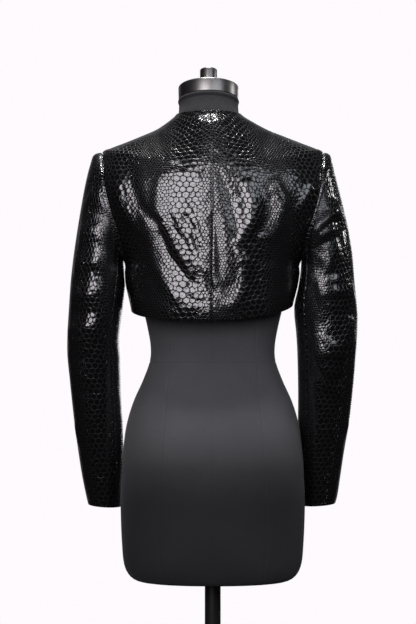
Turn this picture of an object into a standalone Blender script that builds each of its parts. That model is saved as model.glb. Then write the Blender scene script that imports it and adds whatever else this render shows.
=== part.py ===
"""Cropped bolero jacket in embossed leather, worn by a limbless dress form on its stand.

Metres, +Z up. The front of the jacket faces -Y and the wearer's left is at +X.
The origin is the middle of the stand's underside, on the floor.
"""
import math
from collections import namedtuple

import bmesh
import bpy
import numpy as np
from mathutils import Vector

# Driving dimensions of the cloth
WALL = 0.0020
SEAM_GAP = 0.0003
CLEARANCE = 0.0003
LEAST_SQUARENESS = 0.5
SIDE_BLEND = 0.040

# Driving dimensions of the stand
FORM_BOTTOM_Z = 0.621
POLE_RADIUS = 0.0143
SOCKET_DEPTH = 0.060
BASE_RADIUS = 0.190
BASE_THICKNESS = 0.010
BASE_EDGE_RADIUS = 0.003
BASE_FOOT_CHAMFER = 0.001
BOSS_RADIUS = 0.030
BOSS_FLARE = 0.006
BOSS_TOP_Z = 0.026
BASE_FLOOR = 0.004

# Driving dimensions of the neck's end and its cap, in the frame of the tilted neck top
NECK_TILT = math.radians(13.0)
NECK_TOP = Vector((0.0075, -0.008, 1.4875))
NECK_RADIUS = 0.0532
NeckRing = namedtuple("NeckRing", "height outset")
NECK_BEAD = [
    NeckRing(-0.0090, 0.0),
    NeckRing(-0.0055, 0.0014),
    NeckRing(-0.0030, 0.0018),
    NeckRing(-0.0008, 0.0005),
    NeckRing(0.0, -0.0018),
]
CAP_RADIUS = 0.0546
CAP_HEIGHT = 0.0265
CAP_DOME = 0.0020
CAP_EDGE_RADIUS = 0.0030
CAP_FOOT_CHAMFER = 0.0008
CAP_FLAT_RADIUS = 0.0175
KNOB_RADIUS = 0.0155
KNOB_HEIGHT = 0.0315
KNOB_CHAMFER = 0.0020

# A section is one closed line round the body. Its height sweeps from the side to the middle of
# the back and of the front: a sweep of 1 falls evenly, 2 starts level at the side. side_drop
# lowers the wearer's left side and raises the right. A squareness of 2 is an ellipse.
Section = namedtuple(
    "Section",
    "half_width side_z side_drop lean_x back_y back_z front_y front_z sweep squareness",
)

# The jacket's outer face, from the hem up to the neckline
JACKET = [
    Section(0.1450, 1.1145, 0.0055, 0.0012, 0.1165, 1.0905, -0.1150, 1.0990, 1.20, 2.25),
    Section(0.1472, 1.1235, 0.0042, 0.0012, 0.1180, 1.1070, -0.1160, 1.1130, 1.30, 2.25),
    Section(0.1516, 1.1395, 0.0022, 0.0012, 0.1200, 1.1320, -0.1170, 1.1350, 1.50, 2.25),
    Section(0.1552, 1.1560, 0.0010, 0.0015, 0.1215, 1.1560, -0.1175, 1.1560, 1.70, 2.25),
    Section(0.1573, 1.1755, 0.0000, 0.0010, 0.1225, 1.1820, -0.1175, 1.1800, 1.90, 2.25),
    Section(0.1585, 1.1950, 0.0000, 0.0008, 0.1230, 1.2100, -0.1165, 1.2080, 2.00, 2.25),
    Section(0.1815, 1.2350, 0.0000, 0.0000, 0.1225, 1.2440, -0.1140, 1.2360, 2.00, 2.20),
    Section(0.2080, 1.2800, 0.0000, 0.0000, 0.1210, 1.2780, -0.1095, 1.2660, 2.00, 2.20),
    Section(0.2215, 1.3250, 0.0000, 0.0000, 0.1185, 1.3120, -0.1030, 1.2960, 2.00, 2.15),
    Section(0.2150, 1.3620, 0.0000, 0.0000, 0.1150, 1.3400, -0.0970, 1.3200, 2.00, 2.05),
    Section(0.1985, 1.3925, 0.0000, 0.0000, 0.1105, 1.3620, -0.0910, 1.3400, 2.00, 1.90),
    Section(0.1832, 1.4002, 0.0000, 0.0000, 0.1055, 1.3800, -0.0850, 1.3560, 2.00, 1.75),
    Section(0.1554, 1.4110, 0.0000, 0.0000, 0.0985, 1.3990, -0.0780, 1.3720, 2.00, 1.60),
    Section(0.1283, 1.4218, 0.0000, 0.0005, 0.0910, 1.4160, -0.0715, 1.3860, 2.00, 1.55),
    Section(0.1018, 1.4326, 0.0000, 0.0015, 0.0835, 1.4310, -0.0660, 1.3980, 2.00, 1.60),
    Section(0.0823, 1.4434, 0.0000, 0.0035, 0.0765, 1.4430, -0.0620, 1.4080, 2.00, 1.75),
    Section(0.0655, 1.4542, 0.0000, 0.0060, 0.0700, 1.4530, -0.0595, 1.4160, 2.00, 1.95),
    Section(0.0585, 1.4605, 0.0000, 0.0070, 0.0672, 1.4615, -0.0585, 1.4215, 2.00, 2.00),
]
HEM_ROW = 0.0
UNDERARM_ROW = 5.0
SHOULDER_ROW = 10.0
NECK_ROW = 17.0

# The dress form, from the flat of its underside up to the neck
TORSO = [
    Section(0.1150, 0.6210, 0.0, 0.0000, 0.0600, 0.6210, -0.0560, 0.6210, 2.0, 2.20),
    Section(0.1380, 0.6250, 0.0, 0.0000, 0.0790, 0.6250, -0.0740, 0.6250, 2.0, 2.25),
    Section(0.1520, 0.6360, 0.0, 0.0000, 0.0885, 0.6360, -0.0820, 0.6360, 2.0, 2.30),
    Section(0.1600, 0.6560, 0.0, 0.0000, 0.0960, 0.6560, -0.0890, 0.6560, 2.0, 2.30),
    Section(0.1632, 0.6900, 0.0, 0.0000, 0.1010, 0.6900, -0.0940, 0.6900, 2.0, 2.30),
    Section(0.1652, 0.7350, 0.0, 0.0000, 0.1070, 0.7350, -0.0985, 0.7350, 2.0, 2.30),
    Section(0.1656, 0.7750, 0.0, 0.0000, 0.1140, 0.7750, -0.1020, 0.7750, 2.0, 2.30),
    Section(0.1640, 0.8100, 0.0, 0.0000, 0.1185, 0.8100, -0.1050, 0.8100, 2.0, 2.30),
    Section(0.1618, 0.8500, 0.0, 0.0000, 0.1190, 0.8500, -0.1085, 0.8500, 2.0, 2.30),
    Section(0.1555, 0.9000, 0.0, 0.0000, 0.1100, 0.9000, -0.1110, 0.9000, 2.0, 2.25),
    Section(0.1432, 0.9430, 0.0, 0.0000, 0.0970, 0.9430, -0.1090, 0.9430, 2.0, 2.20),
    Section(0.1250, 0.9840, 0.0, 0.0000, 0.0830, 0.9840, -0.1030, 0.9840, 2.0, 2.15),
    Section(0.1130, 1.0180, 0.0, 0.0000, 0.0755, 1.0180, -0.0965, 1.0180, 2.0, 2.10),
    Section(0.1118, 1.0450, 0.0, 0.0000, 0.0740, 1.0450, -0.0930, 1.0450, 2.0, 2.10),
    Section(0.1170, 1.0760, 0.0, 0.0000, 0.0775, 1.0760, -0.0915, 1.0760, 2.0, 2.10),
    Section(0.1250, 1.1100, 0.0, 0.0000, 0.0850, 1.1100, -0.0910, 1.1100, 2.0, 2.15),
    Section(0.1350, 1.1500, 0.0, 0.0000, 0.0935, 1.1500, -0.0920, 1.1500, 2.0, 2.20),
    Section(0.1430, 1.1900, 0.0, 0.0000, 0.1010, 1.1950, -0.0935, 1.1900, 2.0, 2.25),
    Section(0.1490, 1.2350, 0.0, 0.0000, 0.1060, 1.2350, -0.0930, 1.2300, 2.0, 2.30),
    Section(0.1560, 1.2800, 0.0, 0.0000, 0.1075, 1.2700, -0.0910, 1.2600, 2.0, 2.30),
    Section(0.1630, 1.3250, 0.0, 0.0000, 0.1065, 1.3030, -0.0880, 1.2880, 2.0, 2.25),
    Section(0.1700, 1.3600, 0.0, 0.0000, 0.1040, 1.3300, -0.0845, 1.3120, 2.0, 2.10),
    Section(0.1700, 1.3880, 0.0, 0.0000, 0.1005, 1.3540, -0.0805, 1.3330, 2.0, 1.90),
    Section(0.1600, 1.4046, 0.0, 0.0000, 0.0965, 1.3740, -0.0760, 1.3510, 2.0, 1.72),
    Section(0.1420, 1.4132, 0.0, 0.0000, 0.0920, 1.3920, -0.0715, 1.3670, 2.0, 1.60),
    Section(0.1220, 1.4214, 0.0, 0.0005, 0.0865, 1.4080, -0.0670, 1.3800, 2.0, 1.56),
    Section(0.0990, 1.4306, 0.0, 0.0015, 0.0795, 1.4235, -0.0620, 1.3920, 2.0, 1.62),
    Section(0.0790, 1.4405, 0.0, 0.0035, 0.0725, 1.4370, -0.0580, 1.4010, 2.0, 1.78),
    Section(0.0625, 1.4500, 0.0, 0.0060, 0.0660, 1.4480, -0.0555, 1.4085, 2.0, 1.95),
    Section(0.0553, 1.4580, 0.0, 0.0070, 0.0625, 1.4590, -0.0545, 1.4150, 2.0, 2.00),
    Section(0.0536, 1.4680, 0.0, 0.0073, 0.0570, 1.4720, -0.0570, 1.4350, 2.0, 2.00),
]

# Bust of the form, and of the fronts that hang from it
Bust = namedtuple("Bust", "apex_x apex_z depth spread_x spread_up spread_down")
FORM_BUST = Bust(0.080, 1.222, 0.042, 0.050, 0.058, 0.050)
JACKET_BUST = Bust(0.082, 1.222, 0.027, 0.062, 0.064, 0.160)

# Armhole: a loop in angle and row, widest behind and in front at its mid height
ARMHOLE_BACK_ANGLE = math.radians(33.0)
ARMHOLE_FRONT_ANGLE = math.radians(38.0)

# Front opening: half the width left open between the front edges, by row
Opening = namedtuple("Opening", "row half_width")
FRONT_OPENING = [
    Opening(0.0, 0.066),
    Opening(2.0, 0.056),
    Opening(5.0, 0.046),
    Opening(8.0, 0.040),
    Opening(12.0, 0.036),
    Opening(15.0, 0.034),
    Opening(17.0, 0.032),
]
FRONT_CORNER_RISE = 1.5
FRONT_CORNER_START = 0.45
FRONT_CORNER_POWER = 2.6
HEM_RISE_FADE = 3

# A sleeve section is a tilted ellipse through its outer and inner point.
SleeveSection = namedtuple("SleeveSection", "outer_x outer_z inner_x inner_z mid_y half_depth")
SLEEVE_LEFT = [
    SleeveSection(0.2170, 1.3820, 0.1599, 1.1840, 0.0000, 0.0665),
    SleeveSection(0.2240, 1.3570, 0.1596, 1.1770, 0.0008, 0.0652),
    SleeveSection(0.2306, 1.3270, 0.1589, 1.1670, 0.0022, 0.0635),
    SleeveSection(0.2372, 1.2893, 0.1579, 1.1530, 0.0040, 0.0616),
    SleeveSection(0.2441, 1.2461, 0.1590, 1.1380, 0.0058, 0.0600),
    SleeveSection(0.2502, 1.2029, 0.1611, 1.1170, 0.0072, 0.0584),
    SleeveSection(0.2549, 1.1597, 0.1640, 1.0940, 0.0080, 0.0566),
    SleeveSection(0.2583, 1.1100, 0.1668, 1.0720, 0.0078, 0.0542),
    SleeveSection(0.2609, 1.0680, 0.1681, 1.0500, 0.0058, 0.0520),
    SleeveSection(0.2614, 1.0290, 0.1667, 1.0270, 0.0015, 0.0500),
    SleeveSection(0.2580, 0.9870, 0.1661, 0.9880, -0.0060, 0.0480),
    SleeveSection(0.2542, 0.9430, 0.1651, 0.9440, -0.0150, 0.0464),
    SleeveSection(0.2500, 0.8989, 0.1630, 0.9000, -0.0255, 0.0452),
    SleeveSection(0.2449, 0.8544, 0.1625, 0.8540, -0.0375, 0.0444),
    SleeveSection(0.2390, 0.8094, 0.1635, 0.8080, -0.0505, 0.0440),
    SleeveSection(0.2325, 0.7720, 0.1655, 0.7690, -0.0620, 0.0440),
    SleeveSection(0.2285, 0.7530, 0.1668, 0.7490, -0.0680, 0.0440),
]
SLEEVE_RIGHT = [
    SleeveSection(0.2135, 1.3820, 0.1586, 1.1840, 0.0000, 0.0665),
    SleeveSection(0.2196, 1.3570, 0.1578, 1.1750, 0.0008, 0.0652),
    SleeveSection(0.2270, 1.3270, 0.1562, 1.1640, 0.0022, 0.0632),
    SleeveSection(0.2363, 1.2893, 0.1541, 1.1520, 0.0040, 0.0610),
    SleeveSection(0.2453, 1.2461, 0.1512, 1.1390, 0.0055, 0.0588),
    SleeveSection(0.2518, 1.2029, 0.1468, 1.1190, 0.0065, 0.0562),
    SleeveSection(0.2551, 1.1597, 0.1467, 1.0980, 0.0070, 0.0536),
    SleeveSection(0.2598, 1.1100, 0.1493, 1.0740, 0.0062, 0.0508),
    SleeveSection(0.2600, 1.0680, 0.1512, 1.0500, 0.0040, 0.0484),
    SleeveSection(0.2577, 1.0290, 0.1524, 1.0270, -0.0005, 0.0464),
    SleeveSection(0.2551, 0.9870, 0.1538, 0.9880, -0.0085, 0.0448),
    SleeveSection(0.2515, 0.9430, 0.1546, 0.9440, -0.0185, 0.0438),
    SleeveSection(0.2467, 0.8989, 0.1546, 0.9000, -0.0310, 0.0434),
    SleeveSection(0.2402, 0.8544, 0.1550, 0.8540, -0.0455, 0.0436),
    SleeveSection(0.2347, 0.8094, 0.1560, 0.8080, -0.0605, 0.0440),
    SleeveSection(0.2298, 0.7700, 0.1580, 0.7680, -0.0730, 0.0442),
    SleeveSection(0.2260, 0.7540, 0.1590, 0.7500, -0.0785, 0.0444),
]
SLEEVE_SEAM_STEP = 9

# The sleeve head swells out of the armhole before it falls, most at the shoulder tip.
HEAD_STEPS = [0.07, 0.20, 0.40, 0.66]
HEAD_LIFT = 0.45
SHOULDER_LIFT = 0.75

# Folds of the back, as lines in x and z. A trough has a negative height.
Fold = namedtuple("Fold", "height spread line")
BACK_FOLDS = [
    Fold(0.0045, 0.018, [(0.160, 1.350), (0.150, 1.291), (0.116, 1.240), (0.096, 1.190), (0.060, 1.128)]),
    Fold(-0.0045, 0.017, [(0.128, 1.335), (0.104, 1.285), (0.084, 1.235), (0.062, 1.190), (0.032, 1.15)]),
    Fold(0.0035, 0.017, [(-0.054, 1.345), (-0.068, 1.295), (-0.054, 1.230), (-0.057, 1.180), (-0.03, 1.12)]),
    Fold(-0.0030, 0.016, [(-0.004, 1.300), (-0.008, 1.240), (-0.012, 1.175)]),
    Fold(0.0040, 0.018, [(-0.112, 1.345), (-0.124, 1.300), (-0.116, 1.258), (-0.094, 1.220)]),
    Fold(-0.0030, 0.016, [(-0.086, 1.335), (-0.096, 1.290), (-0.084, 1.235)]),
    Fold(0.0050, 0.030, [(0.090, 1.408), (0.045, 1.420), (-0.005, 1.423), (-0.045, 1.420), (-0.09, 1.408)]),
]

# Folds of a sleeve, as lines in angle round the sleeve (0 outside, 90 behind) and in z
LEFT_SLEEVE_FOLDS = [
    Fold(0.0035, 0.018, [(40, 1.320), (70, 1.285), (105, 1.250)]),
    Fold(-0.0035, 0.018, [(25, 1.285), (60, 1.248), (100, 1.215)]),
    Fold(0.0035, 0.019, [(20, 1.115), (60, 1.085), (110, 1.070)]),
    Fold(-0.0040, 0.018, [(15, 1.072), (55, 1.048), (110, 1.036)]),
    Fold(-0.0040, 0.019, [(215, 1.060), (260, 1.040), (310, 1.055)]),
    Fold(0.0035, 0.019, [(215, 1.015), (262, 1.000), (305, 1.012)]),
]
RIGHT_SLEEVE_FOLDS = [
    Fold(0.0045, 0.018, [(40, 1.300), (68, 1.272), (104, 1.245)]),
    Fold(-0.0040, 0.018, [(35, 1.262), (66, 1.236), (100, 1.205)]),
    Fold(0.0045, 0.019, [(20, 1.095), (62, 1.075), (105, 1.070)]),
    Fold(-0.0045, 0.018, [(15, 1.050), (66, 1.034), (110, 1.040)]),
    Fold(-0.0040, 0.019, [(215, 1.065), (260, 1.045), (310, 1.058)]),
    Fold(0.0035, 0.019, [(215, 1.020), (262, 1.005), (305, 1.016)]),
]
SLEEVE_FOLD_RADIUS = 0.050

# Mesh steps
ROWS_BELOW_ARMHOLE = 6
ROWS_IN_ARMHOLE = 12
ROWS_ON_SHOULDER = 6
BACK_COLUMNS = 11
FRONT_COLUMNS = 9
SLEEVE_ROWS = 24
FORM_STEPS_ROUND = 36
FORM_ROWS = 38
TURNED_STEPS = 36


def row_at(table, rows):
    """Columns of a table at real-numbered rows, on a smooth curve through the table's rows."""
    values = np.array(table, float)
    rows = np.clip(np.asarray(rows, float), 0, len(table) - 1)
    start = np.minimum(rows.astype(int), len(table) - 2)
    t = (rows - start)[..., None]
    before = values[np.maximum(start - 1, 0)]
    low = values[start]
    high = values[start + 1]
    after = values[np.minimum(start + 2, len(table) - 1)]
    slope_low = (high - before) / 2
    slope_high = (after - low) / 2
    return (
        low * (1 + 2 * t) * (1 - t) ** 2
        + slope_low * t * (1 - t) ** 2
        + high * t**2 * (3 - 2 * t)
        + slope_high * t**2 * (t - 1)
    )


def smooth_step(t):
    t = np.clip(t, 0, 1)
    return t * t * (3 - 2 * t)


def section_point(table, angle, rows):
    """Point of a sectioned body at an angle (0 the wearer's left, 90 degrees the back)."""
    row = Section(*np.moveaxis(row_at(table, rows), -1, 0))
    power = 2 / row.squareness
    behind = np.sin(angle) > 0
    reach = np.abs(np.sin(angle))
    x = row.lean_x + row.half_width * np.sign(np.cos(angle)) * np.abs(np.cos(angle)) ** power
    y = np.where(behind, row.back_y, row.front_y) * reach**power
    middle_z = np.where(behind, row.back_z, row.front_z)
    z = row.side_z - row.side_drop * np.cos(angle) + (middle_z - row.side_z) * reach**row.sweep
    return np.stack([x, y, z], axis=-1)


def push_out_bust(points, bust):
    """Moves points of the front forwards over the bust."""
    x, y, z = np.moveaxis(points, -1, 0)
    spread_z = np.where(z > bust.apex_z, bust.spread_up, bust.spread_down)
    across = np.exp(-(((np.abs(x) - bust.apex_x) / bust.spread_x) ** 2))
    along = np.exp(-(((z - bust.apex_z) / spread_z) ** 2))
    in_front = smooth_step(-y / SIDE_BLEND)
    return np.stack([x, y - bust.depth * across * along * in_front, z], axis=-1)


def distance_to_line(u, v, line):
    """Distance of (u, v) to a line of points, and how far along it, from 0 to 1, it lies."""
    best = np.full(np.shape(u), 1e9)
    along = np.zeros(np.shape(u))
    lengths = [math.dist(a, b) for a, b in zip(line, line[1:])]
    done = 0.0
    for (au, av), (bu, bv), length in zip(line, line[1:], lengths):
        t = ((u - au) * (bu - au) + (v - av) * (bv - av)) / length**2
        t = np.clip(t, 0, 1)
        away = np.hypot(u - au - t * (bu - au), v - av - t * (bv - av))
        nearer = away < best
        best = np.where(nearer, away, best)
        along = np.where(nearer, (done + t * length) / sum(lengths), along)
        done += length
    return best, along


def fold_height(folds, u, v):
    """Height of all the folds at (u, v). Each fades out towards its ends."""
    total = np.zeros(np.shape(u))
    for fold in folds:
        away, along = distance_to_line(u, v, fold.line)
        fade = np.clip(4 * along * (1 - along), 0, 1) ** 0.5
        total += fold.height * fade * np.exp(-((away / fold.spread) ** 2))
    return total


def jacket_base(angle, rows):
    return push_out_bust(section_point(JACKET, angle, rows), JACKET_BUST)


def jacket_normal(angle, rows):
    """Outward direction of the jacket's smooth body."""
    step = 1e-3
    round_it = jacket_base(angle + step, rows) - jacket_base(angle - step, rows)
    upper = np.minimum(rows + 0.02, NECK_ROW)
    lower = np.maximum(rows - 0.02, HEM_ROW)
    up_it = jacket_base(angle, upper) - jacket_base(angle, lower)
    normal = np.cross(round_it, up_it)
    return normal / np.linalg.norm(normal, axis=-1, keepdims=True)


def jacket_wall(angle, rows):
    """Outer and inner points of the jacket's body wall."""
    base = jacket_base(angle, rows)
    normal = jacket_normal(angle, rows)
    behind = smooth_step(base[..., 1] / SIDE_BLEND)
    height = fold_height(BACK_FOLDS, base[..., 0], base[..., 2]) * behind
    outer = base + normal * height[..., None]
    return outer, outer - WALL * normal


def armhole_turns():
    """Angles round the armhole, from the underarm (180 degrees) up to the shoulder tip (0)."""
    return np.linspace(math.pi, 0, ROWS_IN_ARMHOLE + 1)


def armhole_row(turn):
    middle = (SHOULDER_ROW + UNDERARM_ROW) / 2
    return middle + (SHOULDER_ROW - UNDERARM_ROW) / 2 * np.cos(turn)


def edge_rows():
    """Rows of a panel's side edge and the turn round the armhole at each, 0 elsewhere."""
    below = np.linspace(HEM_ROW, UNDERARM_ROW, ROWS_BELOW_ARMHOLE + 1)[:-1]
    turns = armhole_turns()
    above = np.linspace(SHOULDER_ROW, NECK_ROW, ROWS_ON_SHOULDER + 1)[1:]
    rows = np.concatenate([below, armhole_row(turns), above])
    round_armhole = np.concatenate([0 * below, turns, 0 * above])
    return rows, round_armhole


def even_rows(angle):
    """As many rows as the side edge has, evenly spaced along the body at one angle."""
    fine = np.linspace(HEM_ROW, NECK_ROW, 400)
    points = jacket_base(np.full(fine.shape, angle), fine)
    run = np.concatenate([[0], np.cumsum(np.linalg.norm(np.diff(points, axis=0), axis=1))])
    return np.interp(np.linspace(0, run[-1], len(edge_rows()[0])), run, fine)


def panel_grid(columns, edge_sign, edge_angle, inner_angles, hem_rise):
    """Angles and rows of a panel, from its side edge to its middle edge.

    edge_sign is +1 behind and -1 in front. inner_angles is the middle edge's angle by row.
    hem_rise lifts the hem, in rows, by the share of the way to the middle edge.
    """
    rows, turns = edge_rows()
    side_angles = edge_sign * edge_angle * np.abs(np.sin(turns))
    middle_rows = even_rows(edge_sign * math.pi / 2)
    across = np.linspace(0, 1, columns + 1)[None, :]
    grid_rows = rows[:, None] + (middle_rows - rows)[:, None] * smooth_step(across)
    grid_rows = grid_rows + hem_rise(across) * (1 - grid_rows / NECK_ROW) ** HEM_RISE_FADE
    grid_angles = side_angles[:, None] * (1 - across) + inner_angles(grid_rows) * across
    return grid_angles, grid_rows


def back_panel_grid():
    def middle(rows):
        return np.full(rows.shape, math.pi / 2)

    return panel_grid(BACK_COLUMNS, 1, ARMHOLE_BACK_ANGLE, middle, np.zeros_like)


def front_edge_angle(rows):
    """Angle of the front edge, worked out from the half width left open at each row."""
    table = np.array(FRONT_OPENING)
    open_half = np.interp(rows, table[:, 0], table[:, 1])
    row = Section(*np.moveaxis(row_at(JACKET, rows), -1, 0))
    return -np.arccos((open_half / row.half_width) ** (row.squareness / 2))


def front_panel_grid():
    def corner_rise(across):
        share = np.clip((across - FRONT_CORNER_START) / (1 - FRONT_CORNER_START), 0, 1)
        return FRONT_CORNER_RISE * share**FRONT_CORNER_POWER

    return panel_grid(FRONT_COLUMNS, -1, ARMHOLE_FRONT_ANGLE, front_edge_angle, corner_rise)


def unit(vectors):
    return vectors / np.linalg.norm(vectors, axis=-1, keepdims=True)


def drawn_in(grid, first, last):
    """A grid whose first and last columns, where asked, give up half of the seam gap."""
    grid = grid.copy()
    for asked, edge, inside in ((first, 0, 1), (last, -1, -2)):
        if asked:
            along = unit(np.gradient(grid[:, edge], axis=0))
            inward = unit(grid[:, inside] - grid[:, edge])
            squareness = np.linalg.norm(np.cross(along, inward), axis=-1, keepdims=True)
            grid[:, edge] += inward * SEAM_GAP / 2 / np.maximum(squareness, LEAST_SQUARENESS)
    return grid


def add_object(name, mesh, material, sharp_degrees=40):
    mesh.materials.append(material)
    mesh.shade_smooth()
    mesh.set_sharp_from_angle(angle=math.radians(sharp_degrees))
    made = bpy.data.objects.new(name, mesh)
    bpy.context.scene.collection.objects.link(made)
    return made


def mesh_of(name, vertices, faces):
    """A mesh from points and faces, with its faces turned to point out."""
    mesh = bpy.data.meshes.new(name)
    mesh.from_pydata([tuple(v) for v in vertices], [], faces)
    work = bmesh.new()
    work.from_mesh(mesh)
    bmesh.ops.recalc_face_normals(work, faces=work.faces)
    work.to_mesh(mesh)
    work.free()
    return mesh


def wall_mesh(name, outer, inner):
    """A closed wall between an outer and an inner grid of points of the same size."""
    rows, columns = outer.shape[:2]
    count = rows * columns
    vertices = np.concatenate([outer.reshape(-1, 3), inner.reshape(-1, 3)])

    def at(row, column, side):
        return side * count + row * columns + column

    faces = []
    for side in (0, 1):
        for r in range(rows - 1):
            for c in range(columns - 1):
                faces.append(
                    [at(r, c, side), at(r, c + 1, side), at(r + 1, c + 1, side), at(r + 1, c, side)]
                )
    edges = [((r, c), (r + 1, c)) for c in (0, columns - 1) for r in range(rows - 1)]
    edges += [((r, c), (r, c + 1)) for r in (0, rows - 1) for c in range(columns - 1)]
    for here, after in edges:
        # The same diagonal on both sides of a seam keeps the gap even where the edge twists.
        faces.append([at(*here, 0), at(*after, 0), at(*after, 1)])
        faces.append([at(*here, 0), at(*after, 1), at(*here, 1)])
    return mesh_of(name, vertices, faces)


def add_body_panels(leather):
    """The two backs and the two fronts, with a gap at each seam."""
    for piece, grid, has_middle_seam in (
        ("back", back_panel_grid(), True),
        ("front", front_panel_grid(), False),
    ):
        angles, rows = grid
        for side, turned in (("left", angles), ("right", math.pi - angles)):
            walls = [drawn_in(wall, True, has_middle_seam) for wall in jacket_wall(turned, rows)]
            name = f"{piece}_{side}"
            add_object(name, wall_mesh(name, *walls), leather)


def armhole_loop(side):
    """Outer and inner points of the body wall round the armhole, by turn from the shoulder tip.

    side is +1 for the wearer's left. The turn is 0 at the shoulder tip and 90 degrees behind.
    """
    turns = np.linspace(0, 2 * math.pi, 2 * ROWS_IN_ARMHOLE + 1)[:-1]
    widest = np.where(np.sin(turns) > 0, ARMHOLE_BACK_ANGLE, ARMHOLE_FRONT_ANGLE)
    angles = widest * np.sin(turns)
    if side < 0:
        angles = math.pi - angles
    outer, inner = jacket_wall(angles, armhole_row(turns))
    return turns, outer, inner


def sleeve_ellipses(table, side, rows, turns):
    """Points of the sleeve's sections, as a grid of rows by turns."""
    row = SleeveSection(*np.moveaxis(row_at(table, rows), -1, 0)[..., None])
    middle_x = (row.outer_x + row.inner_x) / 2
    middle_z = (row.outer_z + row.inner_z) / 2
    x = middle_x + (row.outer_x - row.inner_x) / 2 * np.cos(turns)
    z = middle_z + (row.outer_z - row.inner_z) / 2 * np.cos(turns)
    y = row.mid_y + row.half_depth * np.sin(turns)
    return np.stack([side * x, y + 0 * x, z], axis=-1)


def grid_normals(grid):
    """Outward directions of a grid of rows by turns that closes on itself round the turns."""
    round_it = np.roll(grid, -1, axis=1) - np.roll(grid, 1, axis=1)
    normals = unit(np.cross(round_it, np.gradient(grid, axis=0)))
    from_middle = grid - grid.mean(axis=1, keepdims=True)
    return normals * np.sign((normals * from_middle).sum())


def sleeve_head(start, away, out, ring, onward, turns):
    """Rings on smooth curves from the armhole's edge to the sleeve's first ring.

    away leads off the body panel along its surface, out is the panel's outward direction, and
    onward is the sleeve's own direction at the ring.
    """
    reach = np.linalg.norm(ring - start, axis=-1, keepdims=True)
    lift = HEAD_LIFT + SHOULDER_LIFT * np.clip(np.cos(turns), 0, 1)[:, None]
    leave = (away + out * lift) * reach
    arrive = onward * reach
    t = np.array(HEAD_STEPS)[:, None, None]
    return (
        start * (1 + 2 * t) * (1 - t) ** 2
        + leave * t * (1 - t) ** 2
        + ring * t**2 * (3 - 2 * t)
        - arrive * t**2 * (1 - t)
    )


def sleeve_wall(table, folds, side):
    """Outer and inner grids of a sleeve, rows from the armhole to the cuff by turns."""
    turns, hole_outer, hole_inner = armhole_loop(side)
    tube = sleeve_ellipses(table, side, np.linspace(0, len(table) - 1, SLEEVE_ROWS), turns)
    out = unit(hole_outer - hole_inner)
    seam = np.roll(hole_outer, -1, axis=0) - np.roll(hole_outer, 1, axis=0)
    away = unit(np.cross(out, seam))
    away *= np.sign((away * (tube[0] - hole_outer)).sum())
    start = hole_outer + away * SEAM_GAP
    head = sleeve_head(start, away, out, tube[0], unit(tube[1] - tube[0]), turns)
    outer = np.concatenate([start[None], head, tube])
    around = turns * SLEEVE_FOLD_RADIUS + 0 * outer[..., 2]
    lines = [
        fold._replace(line=[(math.radians(a) * SLEEVE_FOLD_RADIUS, z) for a, z in fold.line])
        for fold in folds
    ]
    normals = grid_normals(outer)
    height = fold_height(lines, around, outer[..., 2])
    height[0] = 0
    outer = outer + normals * height[..., None]
    inner = outer - WALL * grid_normals(outer)
    inner[0] = hole_inner + away * SEAM_GAP
    return outer, inner


def add_sleeve(table, folds, side, name, leather):
    """A two-piece sleeve: the top sleeve over the outside and the under sleeve beneath."""
    outer, inner = sleeve_wall(table, folds, side)
    count = outer.shape[1]
    top = [(k + count - SLEEVE_SEAM_STEP) % count for k in range(2 * SLEEVE_SEAM_STEP + 1)]
    under = list(range(SLEEVE_SEAM_STEP, count - SLEEVE_SEAM_STEP + 1))
    for piece, columns in (("top_sleeve", top), ("under_sleeve", under)):
        node = f"{piece}_{name}"
        mesh = wall_mesh(
            node, drawn_in(outer[:, columns], True, True), drawn_in(inner[:, columns], True, True)
        )
        add_object(node, mesh, leather)


def loft_mesh(name, rings):
    """A closed solid through rings of the same number of points, with flat ends."""
    count = len(rings[0])
    vertices = np.concatenate(rings)
    faces = []
    for r in range(len(rings) - 1):
        for k in range(count):
            after = (k + 1) % count
            faces.append(
                [r * count + k, r * count + after, (r + 1) * count + after, (r + 1) * count + k]
            )
    faces.append(list(range(count)))
    faces.append([(len(rings) - 1) * count + k for k in range(count)])
    return mesh_of(name, vertices, faces)


def circle(radius, z, angles):
    return np.stack([radius * np.cos(angles), radius * np.sin(angles), z + 0 * angles], axis=-1)


def neck_ring(radius, height, angles):
    """A ring round the neck's tilted axis, at a height from its top."""
    local = circle(radius, height, angles)
    c, s = math.cos(NECK_TILT), math.sin(NECK_TILT)
    turn = np.array([[1, 0, 0], [0, c, -s], [0, s, c]])
    return local @ turn.T + np.array(NECK_TOP)


def add_dress_form(cover):
    """Torso with a blind socket for the pole in its underside and a rolled bead at the neck's top."""
    angles = np.linspace(0, 2 * math.pi, FORM_STEPS_ROUND + 1)[:-1]
    socket_radius = POLE_RADIUS + CLEARANCE
    rings = [
        circle(socket_radius, FORM_BOTTOM_Z + SOCKET_DEPTH, angles),
        circle(socket_radius, FORM_BOTTOM_Z, angles),
    ]
    for row in np.linspace(0, len(TORSO) - 1, FORM_ROWS):
        points = section_point(TORSO, angles, np.full(angles.shape, row))
        rings.append(push_out_bust(points, FORM_BUST))
    rings += [neck_ring(NECK_RADIUS + step.outset, step.height, angles) for step in NECK_BEAD]
    add_object("dress_form", loft_mesh("dress_form", rings), cover, 35)


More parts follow.
